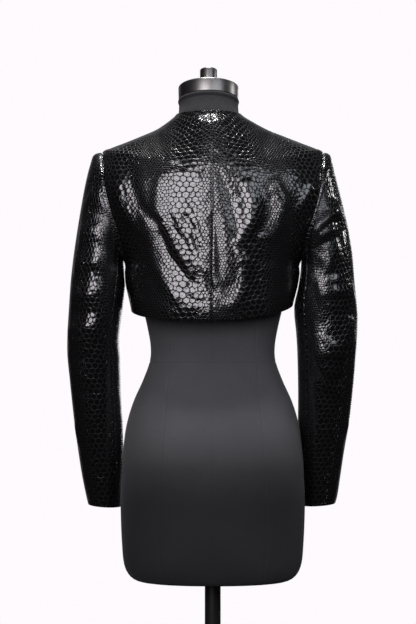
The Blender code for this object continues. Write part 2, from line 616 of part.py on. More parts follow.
def turned_mesh(name, profile):
    """A solid of revolution about Z from a profile of (radius, z) that starts and ends on the axis."""
    work = bmesh.new()
    points = [work.verts.new((radius, 0, z)) for radius, z in profile]
    edges = [work.edges.new(pair) for pair in zip(points, points[1:])]
    bmesh.ops.spin(
        work,
        geom=points + edges,
        axis=(0, 0, 1),
        cent=(0, 0, 0),
        angle=2 * math.pi,
        steps=TURNED_STEPS,
    )
    bmesh.ops.remove_doubles(work, verts=work.verts, dist=1e-6)
    bmesh.ops.dissolve_degenerate(work, dist=1e-7, edges=work.edges)
    bmesh.ops.recalc_face_normals(work, faces=work.faces)
    mesh = bpy.data.meshes.new(name)
    work.to_mesh(mesh)
    work.free()
    return mesh


def rounded_corner(radius, z, fillet, steps=3):
    """Profile points of a round upper edge whose sharp corner would be at (radius, z)."""
    turns = np.linspace(0, math.pi / 2, steps + 1)
    return [
        (radius - fillet * (1 - math.cos(a)), z - fillet * (1 - math.sin(a))) for a in turns
    ]


def add_stand(paint):
    """Pole and round base plate; the pole stands in a blind hole in the plate's boss."""
    bore = POLE_RADIUS + CLEARANCE
    base_profile = [(0, 0), (BASE_RADIUS - BASE_FOOT_CHAMFER, 0), (BASE_RADIUS, BASE_FOOT_CHAMFER)]
    base_profile += rounded_corner(BASE_RADIUS, BASE_THICKNESS, BASE_EDGE_RADIUS)
    base_profile.append((BOSS_RADIUS + BOSS_FLARE, BASE_THICKNESS))
    base_profile.append((BOSS_RADIUS, BASE_THICKNESS + BOSS_FLARE))
    base_profile += rounded_corner(BOSS_RADIUS, BOSS_TOP_Z, BASE_EDGE_RADIUS)
    base_profile += [(bore, BOSS_TOP_Z), (bore, BASE_FLOOR), (0, BASE_FLOOR)]
    add_object("base_plate", turned_mesh("base_plate", base_profile), paint, 30)
    foot_z = BASE_FLOOR + CLEARANCE
    head_z = FORM_BOTTOM_Z + SOCKET_DEPTH - CLEARANCE
    pole_profile = [(0, foot_z), (POLE_RADIUS, foot_z), (POLE_RADIUS, head_z), (0, head_z)]
    add_object("pole", turned_mesh("pole", pole_profile), paint, 30)


def add_neck_cap(chrome):
    """Drum-shaped cap and its knob, on the tilted top of the neck."""
    tilted = bpy.data.objects.new("neck_top", None)
    tilted.location = NECK_TOP
    tilted.rotation_euler = (NECK_TILT, 0, 0)
    bpy.context.scene.collection.objects.link(tilted)
    cap_profile = [(0, 0), (CAP_RADIUS - CAP_FOOT_CHAMFER, 0), (CAP_RADIUS, CAP_FOOT_CHAMFER)]
    cap_profile += rounded_corner(CAP_RADIUS, CAP_HEIGHT - CAP_DOME, CAP_EDGE_RADIUS)
    for share in (0.33, 0.66, 1.0):
        radius = (CAP_RADIUS - CAP_EDGE_RADIUS) * (1 - share) + CAP_FLAT_RADIUS * share
        cap_profile.append((radius, CAP_HEIGHT - CAP_DOME * (1 - share) ** 2))
    cap_profile.append((0, CAP_HEIGHT))
    cap = add_object("neck_cap", turned_mesh("neck_cap", cap_profile), chrome, 30)
    knob_profile = [(0, 0), (KNOB_RADIUS, 0), (KNOB_RADIUS, KNOB_HEIGHT - KNOB_CHAMFER)]
    knob_profile += [(KNOB_RADIUS - KNOB_CHAMFER, KNOB_HEIGHT), (0, KNOB_HEIGHT)]
    knob = add_object("neck_knob", turned_mesh("neck_knob", knob_profile), chrome, 30)
    for piece, height in ((cap, CLEARANCE), (knob, CAP_HEIGHT + 2 * CLEARANCE)):
        piece.parent = tilted
        piece.location = (0, 0, height)


def plain_material(name, colour, roughness, metallic=0.0):
    made = bpy.data.materials.new(name)
    made.use_nodes = True
    shader = made.node_tree.nodes["Principled BSDF"]
    shader.inputs["Base Color"].default_value = (*colour, 1.0)
    shader.inputs["Roughness"].default_value = roughness
    shader.inputs["Metallic"].default_value = metallic
    return made


def main():
    for old in list(bpy.data.objects):
        bpy.data.objects.remove(old)
    leather = plain_material("embossed_leather", (0.012, 0.012, 0.013), 0.18)
    cover = plain_material("form_cover", (0.030, 0.031, 0.034), 0.85)
    chrome = plain_material("chrome", (0.62, 0.62, 0.63), 0.12, 1.0)
    paint = plain_material("black_paint", (0.015, 0.014, 0.013), 0.35)
    add_body_panels(leather)
    add_sleeve(SLEEVE_LEFT, LEFT_SLEEVE_FOLDS, 1, "left", leather)
    add_sleeve(SLEEVE_RIGHT, RIGHT_SLEEVE_FOLDS, -1, "right", leather)
    add_dress_form(cover)
    add_stand(paint)
    add_neck_cap(chrome)


main()
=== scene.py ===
"""Looks of a cropped bolero jacket in scale-embossed leather on a limbless dress form.

Metres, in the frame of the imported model. The jacket's back faces +Y, as the photo shows it, and
the wearer's left is at +X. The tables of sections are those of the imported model's source. The
folds follow the same main lines, but are finer, and some of the sleeves' are only here.
"""
import math
from collections import namedtuple

import bpy
import numpy as np
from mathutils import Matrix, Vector


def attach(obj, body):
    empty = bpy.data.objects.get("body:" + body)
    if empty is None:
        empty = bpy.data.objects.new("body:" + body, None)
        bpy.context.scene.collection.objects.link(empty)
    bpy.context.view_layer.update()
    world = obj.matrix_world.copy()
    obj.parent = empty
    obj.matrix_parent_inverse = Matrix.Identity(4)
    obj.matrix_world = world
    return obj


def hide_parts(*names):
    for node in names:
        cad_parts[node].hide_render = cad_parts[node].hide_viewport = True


# Driving dimensions of the cloth
WALL = 0.0020
CLEARANCE = 0.0003
SIDE_BLEND = 0.040

# Driving dimensions of the stand
FORM_BOTTOM_Z = 0.621
POLE_RADIUS = 0.0143
POLE_CHAMFER = 0.0005
SOCKET_DEPTH = 0.060
BASE_RADIUS = 0.190
BASE_THICKNESS = 0.010
BASE_EDGE_RADIUS = 0.003
BASE_FOOT_CHAMFER = 0.001
BOSS_RADIUS = 0.030
BOSS_FLARE = 0.006
BOSS_FLARE_STEPS = 8
BOSS_TOP_Z = 0.026
BASE_FLOOR = 0.004

# Driving dimensions of the neck's end and its cap, in the frame of the tilted neck top
NECK_TILT = math.radians(13.0)
NECK_TOP = Vector((0.0075, -0.008, 1.4875))
NECK_RADIUS = 0.0532
NeckRing = namedtuple("NeckRing", "height outset")
NECK_BEAD = [
    NeckRing(-0.0090, 0.0),
    NeckRing(-0.0055, 0.0014),
    NeckRing(-0.0030, 0.0018),
    NeckRing(-0.0008, 0.0005),
    NeckRing(0.0, -0.0018),
]
CAP_RADIUS = 0.0546
CAP_HEIGHT = 0.0265
CAP_TAPER = 0.0006
CAP_DOME = 0.0020
CAP_EDGE_RADIUS = 0.0030
CAP_FOOT_CHAMFER = 0.0008
CAP_FLAT_RADIUS = 0.0175
KNOB_RADIUS = 0.0155
KNOB_HEIGHT = 0.0315
KNOB_CHAMFER = 0.0020
KNOB_FOOT_CHAMFER = 0.0004

# A section is one closed line round the body. Its height sweeps from the side to the middle of
# the back and of the front: a sweep of 1 falls evenly, 2 starts level at the side. side_drop
# lowers the wearer's left side and raises the right. A squareness of 2 is an ellipse.
Section = namedtuple(
    "Section",
    "half_width side_z back_y back_z front_y front_z squareness lean_x side_drop sweep",
    defaults=(0.0, 0.0, 2.0),
)


def level(half_width, z, back_y, front_y, squareness):
    """A section at one height all the way round."""
    return Section(half_width, z, back_y, z, front_y, z, squareness)


# The jacket's outer face, from the hem up to the neckline
JACKET = [
    Section(0.1450, 1.1145, 0.1165, 1.0905, -0.1150, 1.0990, 2.25, 0.0012, 0.0055, 1.20),
    Section(0.1472, 1.1235, 0.1180, 1.1070, -0.1160, 1.1130, 2.25, 0.0012, 0.0042, 1.30),
    Section(0.1516, 1.1395, 0.1200, 1.1320, -0.1170, 1.1350, 2.25, 0.0012, 0.0022, 1.50),
    Section(0.1552, 1.1560, 0.1215, 1.1560, -0.1175, 1.1560, 2.25, 0.0015, 0.0010, 1.70),
    Section(0.1573, 1.1755, 0.1225, 1.1820, -0.1175, 1.1800, 2.25, 0.0010, 0.0000, 1.90),
    Section(0.1585, 1.1950, 0.1230, 1.2100, -0.1165, 1.2080, 2.25, 0.0008),
    Section(0.1815, 1.2350, 0.1225, 1.2440, -0.1140, 1.2360, 2.20),
    Section(0.2080, 1.2800, 0.1210, 1.2780, -0.1095, 1.2660, 2.20),
    Section(0.2215, 1.3250, 0.1185, 1.3120, -0.1030, 1.2960, 2.15),
    Section(0.2150, 1.3620, 0.1150, 1.3400, -0.0970, 1.3200, 2.05),
    Section(0.1985, 1.3925, 0.1105, 1.3620, -0.0910, 1.3400, 1.90),
    Section(0.1832, 1.4002, 0.1055, 1.3800, -0.0850, 1.3560, 1.75),
    Section(0.1554, 1.4110, 0.0985, 1.3990, -0.0780, 1.3720, 1.60),
    Section(0.1283, 1.4218, 0.0910, 1.4160, -0.0715, 1.3860, 1.55, 0.0005),
    Section(0.1018, 1.4326, 0.0835, 1.4310, -0.0660, 1.3980, 1.60, 0.0015),
    Section(0.0823, 1.4434, 0.0765, 1.4430, -0.0620, 1.4080, 1.75, 0.0035),
    Section(0.0655, 1.4542, 0.0700, 1.4530, -0.0595, 1.4160, 1.95, 0.0060),
    Section(0.0585, 1.4605, 0.0672, 1.4615, -0.0585, 1.4215, 2.00, 0.0070),
]
HEM_ROW = 0.0
UNDERARM_ROW = 5.0
SHOULDER_ROW = 10.0
NECK_ROW = 17.0

# The dress form, from the flat of its underside up to the neck
TORSO = [
    level(0.1150, 0.6210, 0.0600, -0.0560, 2.20),
    level(0.1380, 0.6250, 0.0790, -0.0740, 2.25),
    level(0.1520, 0.6360, 0.0885, -0.0820, 2.30),
    level(0.1600, 0.6560, 0.0960, -0.0890, 2.30),
    level(0.1632, 0.6900, 0.1010, -0.0940, 2.30),
    level(0.1652, 0.7350, 0.1070, -0.0985, 2.30),
    level(0.1656, 0.7750, 0.1140, -0.1020, 2.30),
    level(0.1640, 0.8100, 0.1185, -0.1050, 2.30),
    level(0.1618, 0.8500, 0.1190, -0.1085, 2.30),
    level(0.1555, 0.9000, 0.1100, -0.1110, 2.25),
    level(0.1432, 0.9430, 0.0970, -0.1090, 2.20),
    level(0.1250, 0.9840, 0.0830, -0.1030, 2.15),
    level(0.1130, 1.0180, 0.0755, -0.0965, 2.10),
    level(0.1118, 1.0450, 0.0740, -0.0930, 2.10),
    level(0.1170, 1.0760, 0.0775, -0.0915, 2.10),
    level(0.1250, 1.1100, 0.0850, -0.0910, 2.15),
    level(0.1350, 1.1500, 0.0935, -0.0920, 2.20),
    Section(0.1430, 1.1900, 0.1010, 1.1950, -0.0935, 1.1900, 2.25),
    Section(0.1490, 1.2350, 0.1060, 1.2350, -0.0930, 1.2300, 2.30),
    Section(0.1560, 1.2800, 0.1075, 1.2700, -0.0910, 1.2600, 2.30),
    Section(0.1630, 1.3250, 0.1065, 1.3030, -0.0880, 1.2880, 2.25),
    Section(0.1700, 1.3600, 0.1040, 1.3300, -0.0845, 1.3120, 2.10),
    Section(0.1700, 1.3880, 0.1005, 1.3540, -0.0805, 1.3330, 1.90),
    Section(0.1600, 1.4046, 0.0965, 1.3740, -0.0760, 1.3510, 1.72),
    Section(0.1420, 1.4132, 0.0920, 1.3920, -0.0715, 1.3670, 1.60),
    Section(0.1220, 1.4214, 0.0865, 1.4080, -0.0670, 1.3800, 1.56, 0.0005),
    Section(0.0990, 1.4306, 0.0795, 1.4235, -0.0620, 1.3920, 1.62, 0.0015),
    Section(0.0790, 1.4405, 0.0725, 1.4370, -0.0580, 1.4010, 1.78, 0.0035),
    Section(0.0625, 1.4500, 0.0660, 1.4480, -0.0555, 1.4085, 1.95, 0.0060),
    Section(0.0553, 1.4580, 0.0625, 1.4590, -0.0545, 1.4150, 2.00, 0.0070),
    Section(0.0536, 1.4680, 0.0570, 1.4720, -0.0570, 1.4350, 2.00, 0.0073),
]

# Bust of the form, and of the fronts that hang from it
Bust = namedtuple("Bust", "apex_x apex_z depth spread_x spread_up spread_down")
FORM_BUST = Bust(0.080, 1.222, 0.042, 0.050, 0.058, 0.050)
JACKET_BUST = Bust(0.082, 1.222, 0.027, 0.062, 0.064, 0.160)

# Armhole: a loop in angle and row, widest behind and in front at its mid height
ARMHOLE_BACK_ANGLE = math.radians(33.0)
ARMHOLE_FRONT_ANGLE = math.radians(38.0)

# Front opening: half the width left open between the front edges, by row
Opening = namedtuple("Opening", "row half_width")
FRONT_OPENING = [
    Opening(0.0, 0.066),
    Opening(2.0, 0.056),
    Opening(5.0, 0.046),
    Opening(8.0, 0.040),
    Opening(12.0, 0.036),
    Opening(15.0, 0.034),
    Opening(17.0, 0.032),
]
FRONT_CORNER_RISE = 1.5
FRONT_CORNER_START = 0.45
FRONT_CORNER_POWER = 2.6
HEM_RISE_FADE = 3

# A sleeve section is a tilted ellipse through its outer and inner point.
SleeveSection = namedtuple("SleeveSection", "outer_x outer_z inner_x inner_z mid_y half_depth")
SLEEVE_LEFT = [SleeveSection(*row) for row in (
    (0.2170, 1.3820, 0.1599, 1.1840, 0.0000, 0.0665),
    (0.2240, 1.3570, 0.1596, 1.1770, 0.0008, 0.0652),
    (0.2306, 1.3270, 0.1589, 1.1670, 0.0022, 0.0635),
    (0.2372, 1.2893, 0.1579, 1.1530, 0.0040, 0.0616),
    (0.2441, 1.2461, 0.1590, 1.1380, 0.0058, 0.0600),
    (0.2502, 1.2029, 0.1611, 1.1170, 0.0072, 0.0584),
    (0.2549, 1.1597, 0.1640, 1.0940, 0.0080, 0.0566),
    (0.2583, 1.1100, 0.1668, 1.0720, 0.0078, 0.0542),
    (0.2609, 1.0680, 0.1681, 1.0500, 0.0058, 0.0520),
    (0.2614, 1.0290, 0.1667, 1.0270, 0.0015, 0.0500),
    (0.2580, 0.9870, 0.1661, 0.9880, -0.0060, 0.0480),
    (0.2542, 0.9430, 0.1651, 0.9440, -0.0150, 0.0464),
    (0.2500, 0.8989, 0.1630, 0.9000, -0.0255, 0.0452),
    (0.2449, 0.8544, 0.1625, 0.8540, -0.0375, 0.0444),
    (0.2390, 0.8094, 0.1635, 0.8080, -0.0505, 0.0440),
    (0.2325, 0.7720, 0.1655, 0.7690, -0.0620, 0.0440),
    (0.2285, 0.7530, 0.1668, 0.7490, -0.0680, 0.0440),
)]
SLEEVE_RIGHT = [SleeveSection(*row) for row in (
    (0.2135, 1.3820, 0.1586, 1.1840, 0.0000, 0.0665),
    (0.2196, 1.3570, 0.1578, 1.1750, 0.0008, 0.0652),
    (0.2270, 1.3270, 0.1562, 1.1640, 0.0022, 0.0632),
    (0.2363, 1.2893, 0.1541, 1.1520, 0.0040, 0.0610),
    (0.2453, 1.2461, 0.1512, 1.1390, 0.0055, 0.0588),
    (0.2518, 1.2029, 0.1468, 1.1190, 0.0065, 0.0562),
    (0.2551, 1.1597, 0.1467, 1.0980, 0.0070, 0.0536),
    (0.2598, 1.1100, 0.1493, 1.0740, 0.0062, 0.0508),
    (0.2600, 1.0680, 0.1512, 1.0500, 0.0040, 0.0484),
    (0.2577, 1.0290, 0.1524, 1.0270, -0.0005, 0.0464),
    (0.2551, 0.9870, 0.1538, 0.9880, -0.0085, 0.0448),
    (0.2515, 0.9430, 0.1546, 0.9440, -0.0185, 0.0438),
    (0.2467, 0.8989, 0.1546, 0.9000, -0.0310, 0.0434),
    (0.2402, 0.8544, 0.1550, 0.8540, -0.0455, 0.0436),
    (0.2347, 0.8094, 0.1560, 0.8080, -0.0605, 0.0440),
    (0.2298, 0.7700, 0.1580, 0.7680, -0.0730, 0.0442),
    (0.2260, 0.7540, 0.1590, 0.7500, -0.0785, 0.0444),
)]

# The sleeve's two seams lie this many of the steps round it to either side of its outer line.
SLEEVE_SEAM_STEP = 9
SLEEVE_SEAM_STEPS = 24

# The sleeve head swells out of the armhole before it falls, most at the shoulder tip.
HEAD_LIFT = 0.45
SHOULDER_LIFT = 0.75
HEAD_REACH = 0.025
# Air between the cut pieces at a seam
VISIBLE_GAP = 0.0003

# A fold runs along a line of points. A trough has a negative height.
Fold = namedtuple("Fold", "height spread line")


def folds_of(rows):
    """Folds from rows of height, spread and then the two coordinates of each point in turn."""
    return [Fold(row[0], row[1], list(zip(row[2::2], row[3::2]))) for row in rows]


# Folds of the back in x and z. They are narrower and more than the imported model's own folds.
BACK_FOLDS = folds_of([
    (0.0038, 0.010, 0.168, 1.364, 0.168, 1.324, 0.159, 1.289, 0.142, 1.262, 0.119, 1.239),
    (-0.0024, 0.009, 0.142, 1.369, 0.140, 1.324, 0.128, 1.291, 0.109, 1.269, 0.092, 1.255),
    (0.0020, 0.010, 0.082, 1.366, 0.096, 1.320, 0.098, 1.280, 0.092, 1.240),
    (0.0032, 0.012, 0.121, 1.279, 0.114, 1.244, 0.106, 1.203, 0.086, 1.158, 0.060, 1.121),
    (-0.0030, 0.007, 0.102, 1.275, 0.092, 1.244, 0.075, 1.203, 0.049, 1.168, 0.028, 1.147),
    (0.0038, 0.012, -0.044, 1.262, -0.049, 1.220, -0.057, 1.182, -0.052, 1.144, -0.026, 1.106),
    (-0.0026, 0.008, -0.002, 1.279, -0.007, 1.237, -0.011, 1.199, -0.012, 1.161),
    (0.0036, 0.010, -0.057, 1.338, -0.069, 1.300, -0.069, 1.262, -0.055, 1.230),
    (-0.0024, 0.008, -0.022, 1.330, -0.031, 1.293, -0.040, 1.258, -0.045, 1.230),
    (0.0048, 0.010, -0.104, 1.341, -0.123, 1.300, -0.118, 1.262, -0.097, 1.227),
    (-0.0030, 0.009, -0.080, 1.334, -0.096, 1.303, -0.094, 1.269, -0.079, 1.237),
    (0.0045, 0.030, 0.090, 1.408, 0.045, 1.420, -0.005, 1.423, -0.045, 1.420, -0.090, 1.408),
])

# Folds of a sleeve, as lines in angle round the sleeve (0 outside, 90 behind) and in z
LEFT_SLEEVE_FOLDS = folds_of([
    (0.0035, 0.018, 40, 1.318, 70, 1.306, 105, 1.296),
    (0.0045, 0.026, 30, 1.240, 62, 1.243, 110, 1.247),
    (0.0038, 0.018, 25, 1.186, 60, 1.193, 110, 1.200),
    (0.0038, 0.018, 20, 1.130, 60, 1.137, 110, 1.140),
    (0.0034, 0.018, 15, 1.064, 55, 1.072, 110, 1.080),
    (-0.0040, 0.019, 215, 1.060, 260, 1.040, 310, 1.055),
    (0.0035, 0.019, 215, 1.015, 262, 1.000, 305, 1.012),
])
RIGHT_SLEEVE_FOLDS = folds_of([
    (0.0045, 0.018, 40, 1.300, 68, 1.272, 104, 1.245),
    (-0.0040, 0.018, 35, 1.262, 66, 1.236, 100, 1.205),
    (0.0075, 0.042, 56, 1.238, 84, 1.236, 128, 1.230),
    (0.0042, 0.022, 24, 1.150, 60, 1.142, 108, 1.136),
    (0.0105, 0.031, 54, 1.024, 82, 1.031, 128, 1.030),
    (-0.0040, 0.019, 215, 1.065, 260, 1.045, 310, 1.058),
    (0.0035, 0.019, 215, 1.020, 262, 1.005, 305, 1.016),
])
# Radius at which a sleeve's angles count as lengths
SLEEVE_FOLD_RADIUS = 0.050

# Finer creases of the back in x and z, read from where the light breaks in the photo
BACK_CREASES = folds_of([
    (0.0030, 0.0070, -0.179, 1.341, -0.163, 1.307, -0.146, 1.275),
    (0.0016, 0.009, 0.062, 1.438, 0.030, 1.441, 0.008, 1.436, -0.020, 1.444, -0.055, 1.442),
    (0.0048, 0.030, 0.150, 1.116, 0.060, 1.108, -0.060, 1.108, -0.150, 1.116),
    (-0.0011, 0.0035, 0.064, 1.296, 0.054, 1.275, 0.040, 1.255),
    (0.0009, 0.0035, 0.071, 1.289, 0.062, 1.267, 0.050, 1.244),
    (-0.0012, 0.0035, 0.076, 1.279, 0.069, 1.255, 0.057, 1.230),
    (-0.0010, 0.0033, 0.047, 1.275, 0.036, 1.251, 0.028, 1.223),
    (0.0009, 0.0035, 0.040, 1.282, 0.028, 1.255, 0.022, 1.230),
    (-0.0012, 0.0035, 0.060, 1.244, 0.047, 1.223, 0.036, 1.199),
    (0.0009, 0.0033, 0.050, 1.248, 0.036, 1.223, 0.026, 1.199),
    (-0.0012, 0.0038, 0.033, 1.234, 0.024, 1.210, 0.017, 1.185),
    (-0.0009, 0.0033, 0.055, 1.307, 0.040, 1.295, 0.026, 1.275),
    (-0.0011, 0.0040, 0.047, 1.133, 0.026, 1.123, 0.009, 1.125),
    (-0.0012, 0.0040, 0.015, 1.175, 0.005, 1.154, -0.005, 1.133),
    (-0.0010, 0.0040, -0.002, 1.355, -0.016, 1.338, -0.023, 1.314),
    (0.0008, 0.0035, -0.047, 1.237, -0.061, 1.223, -0.075, 1.213),
    (-0.0008, 0.0035, -0.040, 1.223, -0.057, 1.210, -0.071, 1.196),
    (-0.0012, 0.0045, 0.095, 1.352, 0.071, 1.362, 0.047, 1.359),
    (0.0010, 0.0050, 0.203, 1.383, 0.157, 1.386, 0.109, 1.372),
    (0.0009, 0.0050, -0.033, 1.404, -0.057, 1.411, -0.078, 1.421),
])

# Creases of the fronts in x and z, of the same kind as those behind
FRONT_CREASES = folds_of([
    (0.0030, 0.012, 0.168, 1.315, 0.140, 1.272, 0.110, 1.240),
    (-0.0028, 0.012, 0.150, 1.325, 0.124, 1.290, 0.096, 1.262),
    (0.0022, 0.011, 0.100, 1.205, 0.108, 1.160, 0.104, 1.118),
    (-0.0022, 0.011, 0.078, 1.200, 0.080, 1.150, 0.074, 1.112),
    (0.0012, 0.007, 0.142, 1.238, 0.128, 1.205, 0.122, 1.170),
    (0.0014, 0.009, 0.064, 1.405, 0.058, 1.360, 0.062, 1.310),
    (0.0030, 0.012, -0.164, 1.308, -0.138, 1.268, -0.104, 1.236),
    (-0.0026, 0.012, -0.154, 1.330, -0.128, 1.295, -0.100, 1.270),
    (0.0020, 0.011, -0.098, 1.210, -0.104, 1.165, -0.110, 1.122),
    (-0.0024, 0.011, -0.076, 1.195, -0.082, 1.150, -0.080, 1.110),
    (0.0012, 0.008, -0.140, 1.230, -0.130, 1.190, -0.126, 1.160),
    (-0.0014, 0.009, -0.068, 1.400, -0.060, 1.350, -0.066, 1.300),
])

# Finer creases of the sleeves, in angle round the sleeve (0 outside, 90 behind) and in z
LEFT_SLEEVE_CREASES = folds_of([
    (0.0024, 0.007, 126, 1.338, 122, 1.312, 124, 1.284),
    (-0.0012, 0.006, 98, 1.350, 88, 1.325, 80, 1.298),
    (0.0026, 0.009, 54, 1.284, 58, 1.262, 64, 1.240),
    (-0.0016, 0.006, 50, 1.262, 72, 1.266, 96, 1.272),
    (0.0017, 0.006, 52, 1.196, 70, 1.192, 92, 1.194),
    (0.0017, 0.006, 50, 1.166, 70, 1.161, 90, 1.164),
    (0.0015, 0.005, 56, 1.150, 76, 1.146, 96, 1.150),
    (0.0014, 0.005, 46, 1.138, 64, 1.134, 84, 1.138),
    (-0.0015, 0.006, 30, 1.112, 56, 1.106, 84, 1.108),
    (0.0013, 0.005, 28, 1.088, 56, 1.078, 84, 1.082),
    (0.0012, 0.005, 22, 1.060, 50, 1.054, 80, 1.057),
    (-0.0018, 0.008, 30, 1.030, 58, 1.022, 88, 1.026),
    (0.0012, 0.007, 40, 1.002, 62, 0.990, 84, 0.986),
    (-0.0012, 0.008, 30, 0.975, 60, 0.960, 100, 0.965),
    (0.0014, 0.009, 12, 0.905, 26, 0.872, 44, 0.850),
    (-0.0012, 0.009, 60, 0.830, 84, 0.812, 110, 0.815),
    (-0.0030, 0.010, 240, 1.084, 262, 1.076, 300, 1.088),
    (0.0024, 0.010, 242, 1.130, 262, 1.122, 296, 1.130),
    (-0.0024, 0.010, 242, 0.970, 268, 0.962, 304, 0.972),
    (0.0018, 0.012, 250, 0.880, 275, 0.862, 305, 0.868),
    (0.0022, 0.012, 300, 1.300, 275, 1.262, 250, 1.240),
])
RIGHT_SLEEVE_CREASES = folds_of([
    (0.0018, 0.006, 132, 1.335, 124, 1.308, 116, 1.286),
    (0.0026, 0.007, 34, 1.290, 58, 1.282, 88, 1.264, 116, 1.238),
    (-0.0026, 0.006, 38, 1.268, 64, 1.264, 92, 1.248),
    (0.0026, 0.007, 50, 1.250, 72, 1.250, 98, 1.234),
    (-0.0018, 0.006, 62, 1.232, 84, 1.232, 104, 1.222),
    (0.0022, 0.005, 82, 1.228, 80, 1.200, 84, 1.174),
    (-0.0030, 0.009, 102, 1.226, 104, 1.196, 106, 1.166),
    (0.0016, 0.006, 58, 1.172, 74, 1.162, 90, 1.164),
    (0.0015, 0.006, 50, 1.150, 64, 1.142, 80, 1.144),
    (-0.0014, 0.006, 56, 1.132, 74, 1.126, 96, 1.130),
    (0.0040, 0.013, 42, 1.098, 44, 1.070, 52, 1.042),
    (-0.0012, 0.005, 92, 1.074, 84, 1.060, 74, 1.048),
    (0.0012, 0.005, 104, 1.068, 94, 1.056, 84, 1.044),
    (-0.0024, 0.007, 44, 1.018, 70, 1.020, 98, 1.026),
    (0.0050, 0.012, 66, 0.990, 86, 0.995, 114, 1.006),
    (-0.0022, 0.007, 46, 0.978, 66, 0.984, 88, 0.990),
    (0.0042, 0.011, 58, 0.964, 74, 0.970, 98, 0.982),
    (0.0012, 0.006, 70, 0.900, 82, 0.892, 94, 0.886),
    (-0.0010, 0.007, 84, 0.866, 96, 0.852, 104, 0.838),
    (0.0014, 0.009, 12, 0.910, 30, 0.880, 52, 0.858),
    (-0.0030, 0.010, 240, 1.085, 262, 1.078, 302, 1.090),
    (0.0024, 0.010, 242, 1.132, 264, 1.124, 298, 1.134),
    (-0.0022, 0.010, 242, 0.973, 266, 0.966, 300, 0.976),
    (0.0022, 0.012, 302, 1.296, 272, 1.262, 248, 1.236),
    (-0.0020, 0.028, 120, 0.866, 180, 0.866, 240, 0.866),
])

# Where a band of large scales runs on each cut piece: its distance from the piece's middle line
# at the hem, how far it drifts for each metre up, and a shift up that sets the pieces apart
Band = namedtuple("Band", "start slope rise")
BANDS = {
    "back_left": Band(0.047, 0.0, 0.0),
    "back_right": Band(0.074, -0.090, 0.413),
    "front_left": Band(0.060, 0.02, 0.871),
    "front_right": Band(0.068, -0.03, 1.317),
    "top_sleeve_left": Band(0.072, 0.03, 1.733),
    "under_sleeve_left": Band(0.050, 0.0, 2.291),
    "top_sleeve_right": Band(0.074, -0.03, 2.717),
    "under_sleeve_right": Band(-0.050, 0.0, 3.163),
}

# Flat sizes that each pair of pieces was cut to, (width, length), and the area of one cut
Cut = namedtuple("Cut", "size area")
CUTS = {
    "back": Cut((0.238, 0.425), 0.0785),
    "front": Cut((0.195, 0.380), 0.0570),
    "top_sleeve": Cut((0.256, 0.675), 0.1360),
    "under_sleeve": Cut((0.095, 0.510), 0.0355),
}

# Seams of the form's cover: x of the lengthways seams by height, behind and in front
FORM_SEAM_BACK = {
    0.62: 0.084, 0.70: 0.0925, 0.82: 0.089, 1.00: 0.080, 1.10: 0.078, 1.30: 0.088, 1.47: 0.030,
}
FORM_SEAM_FRONT = {
    0.62: 0.078, 0.70: 0.086, 0.85: 0.084, 1.00: 0.070, 1.12: 0.072, 1.23: 0.082, 1.36: 0.092,
    1.47: 0.030,
}
WAIST_SEAM_Z = 1.016
FORM_SEAM_SINK = 0.0006
FORM_SEAM_REACH = 0.0013
FORM_STEPS_BELOW = 70
FORM_STEPS_ABOVE = 96
FORM_STEPS_GORE = 12
FORM_GORE_WIDTH = 0.090
# The lengthways seams fade in over this height above the underside.
FORM_SEAM_FADE = 0.03
# A seam's x becomes an angle by its share of the half width, up to a limit and raised to a power.
FORM_SEAM_LIMIT = 0.93
FORM_SEAM_POWER = 1.1
# Radius at which the cover's angles count as lengths of its knit
FORM_KNIT_RADIUS = 0.13
FORM_UNDERSIDE_RADIUS = 0.05

# The bands of scales repeat across the skin. A size of scale fills what lies within its reach of
# a band's middle, over the size before it. Its groove is in pitches, and the rest in metres.
BAND_REPEAT = 0.126
ScaleSize = namedtuple("ScaleSize", "pitch reach groove")
SCALE_SIZES = [
    ScaleSize(0.0049, None, 0.17),
    ScaleSize(0.0064, 0.041, 0.14),
    ScaleSize(0.0082, 0.028, 0.115),
    ScaleSize(0.0106, 0.016, 0.095),
]
HEX_RISE = 3 ** 0.5
HEX_STEP = (0.5, HEX_RISE / 2, 0)
# Share of the six-sided form in a scale's outline. The rest is round.
HEX_SHARE = 0.45
# Heights of a scale's dome and of its lean, in pitches
SCALE_DOME = 0.07
SCALE_LEAN = 0.06
# The leather of the sleeves is this much as rumpled as that of the body.
SLEEVE_SLACK = 0.8
# Stitches of the form's knitted cover
STITCH_WIDTH = 0.0013
STITCH_HEIGHT = 0.0011

# The camera stands where the photo was taken from
CAMERA_PLACE = (0.0085, 3.2, 1.1057)
CAMERA_LENS = 102.58
# Studio lights: azimuth 0 is the photo's side, positive to the wearer's left, degrees and metres
Light = namedtuple("Light", "name azimuth elevation distance width height power colour")
LIGHT_TARGET = Vector((0.0, 0.0, 1.20))
LIGHTS = [
    Light("key_left", 15, 15, 3.4, 1.9, 2.2, 40, (0.98, 0.935, 1.0)),
    Light("fill_right", -32, 24, 3.4, 2.2, 1.6, 14, (0.86, 0.90, 1.0)),
    Light("side_right", -106, 16, 3.2, 0.4, 0.5, 6, (1.0, 0.98, 1.0)),
    Light("top_back", 4, 82, 3.0, 1.2, 0.35, 62, (1.0, 0.98, 1.0)),
    Light("front_soft", 196, 2, 3.4, 1.6, 1.4, 17, (1.0, 0.98, 1.0)),
    Light("top_front", 175, 68, 3.0, 0.7, 0.7, 40, (1.0, 0.98, 1.0)),
]
BACKDROP_COLOUR = (0.991, 0.956, 0.991, 1)
# How bright the world is behind the form and in front of it, and where (as -y) it changes over
BACKDROP_LEVEL = 0.30
BACKDROP_EDGE = (0.70, 0.90)
ROOM_LEVEL = 0.012
FLOOR_RADIUS = 2.6
FLOOR_STEPS = 96


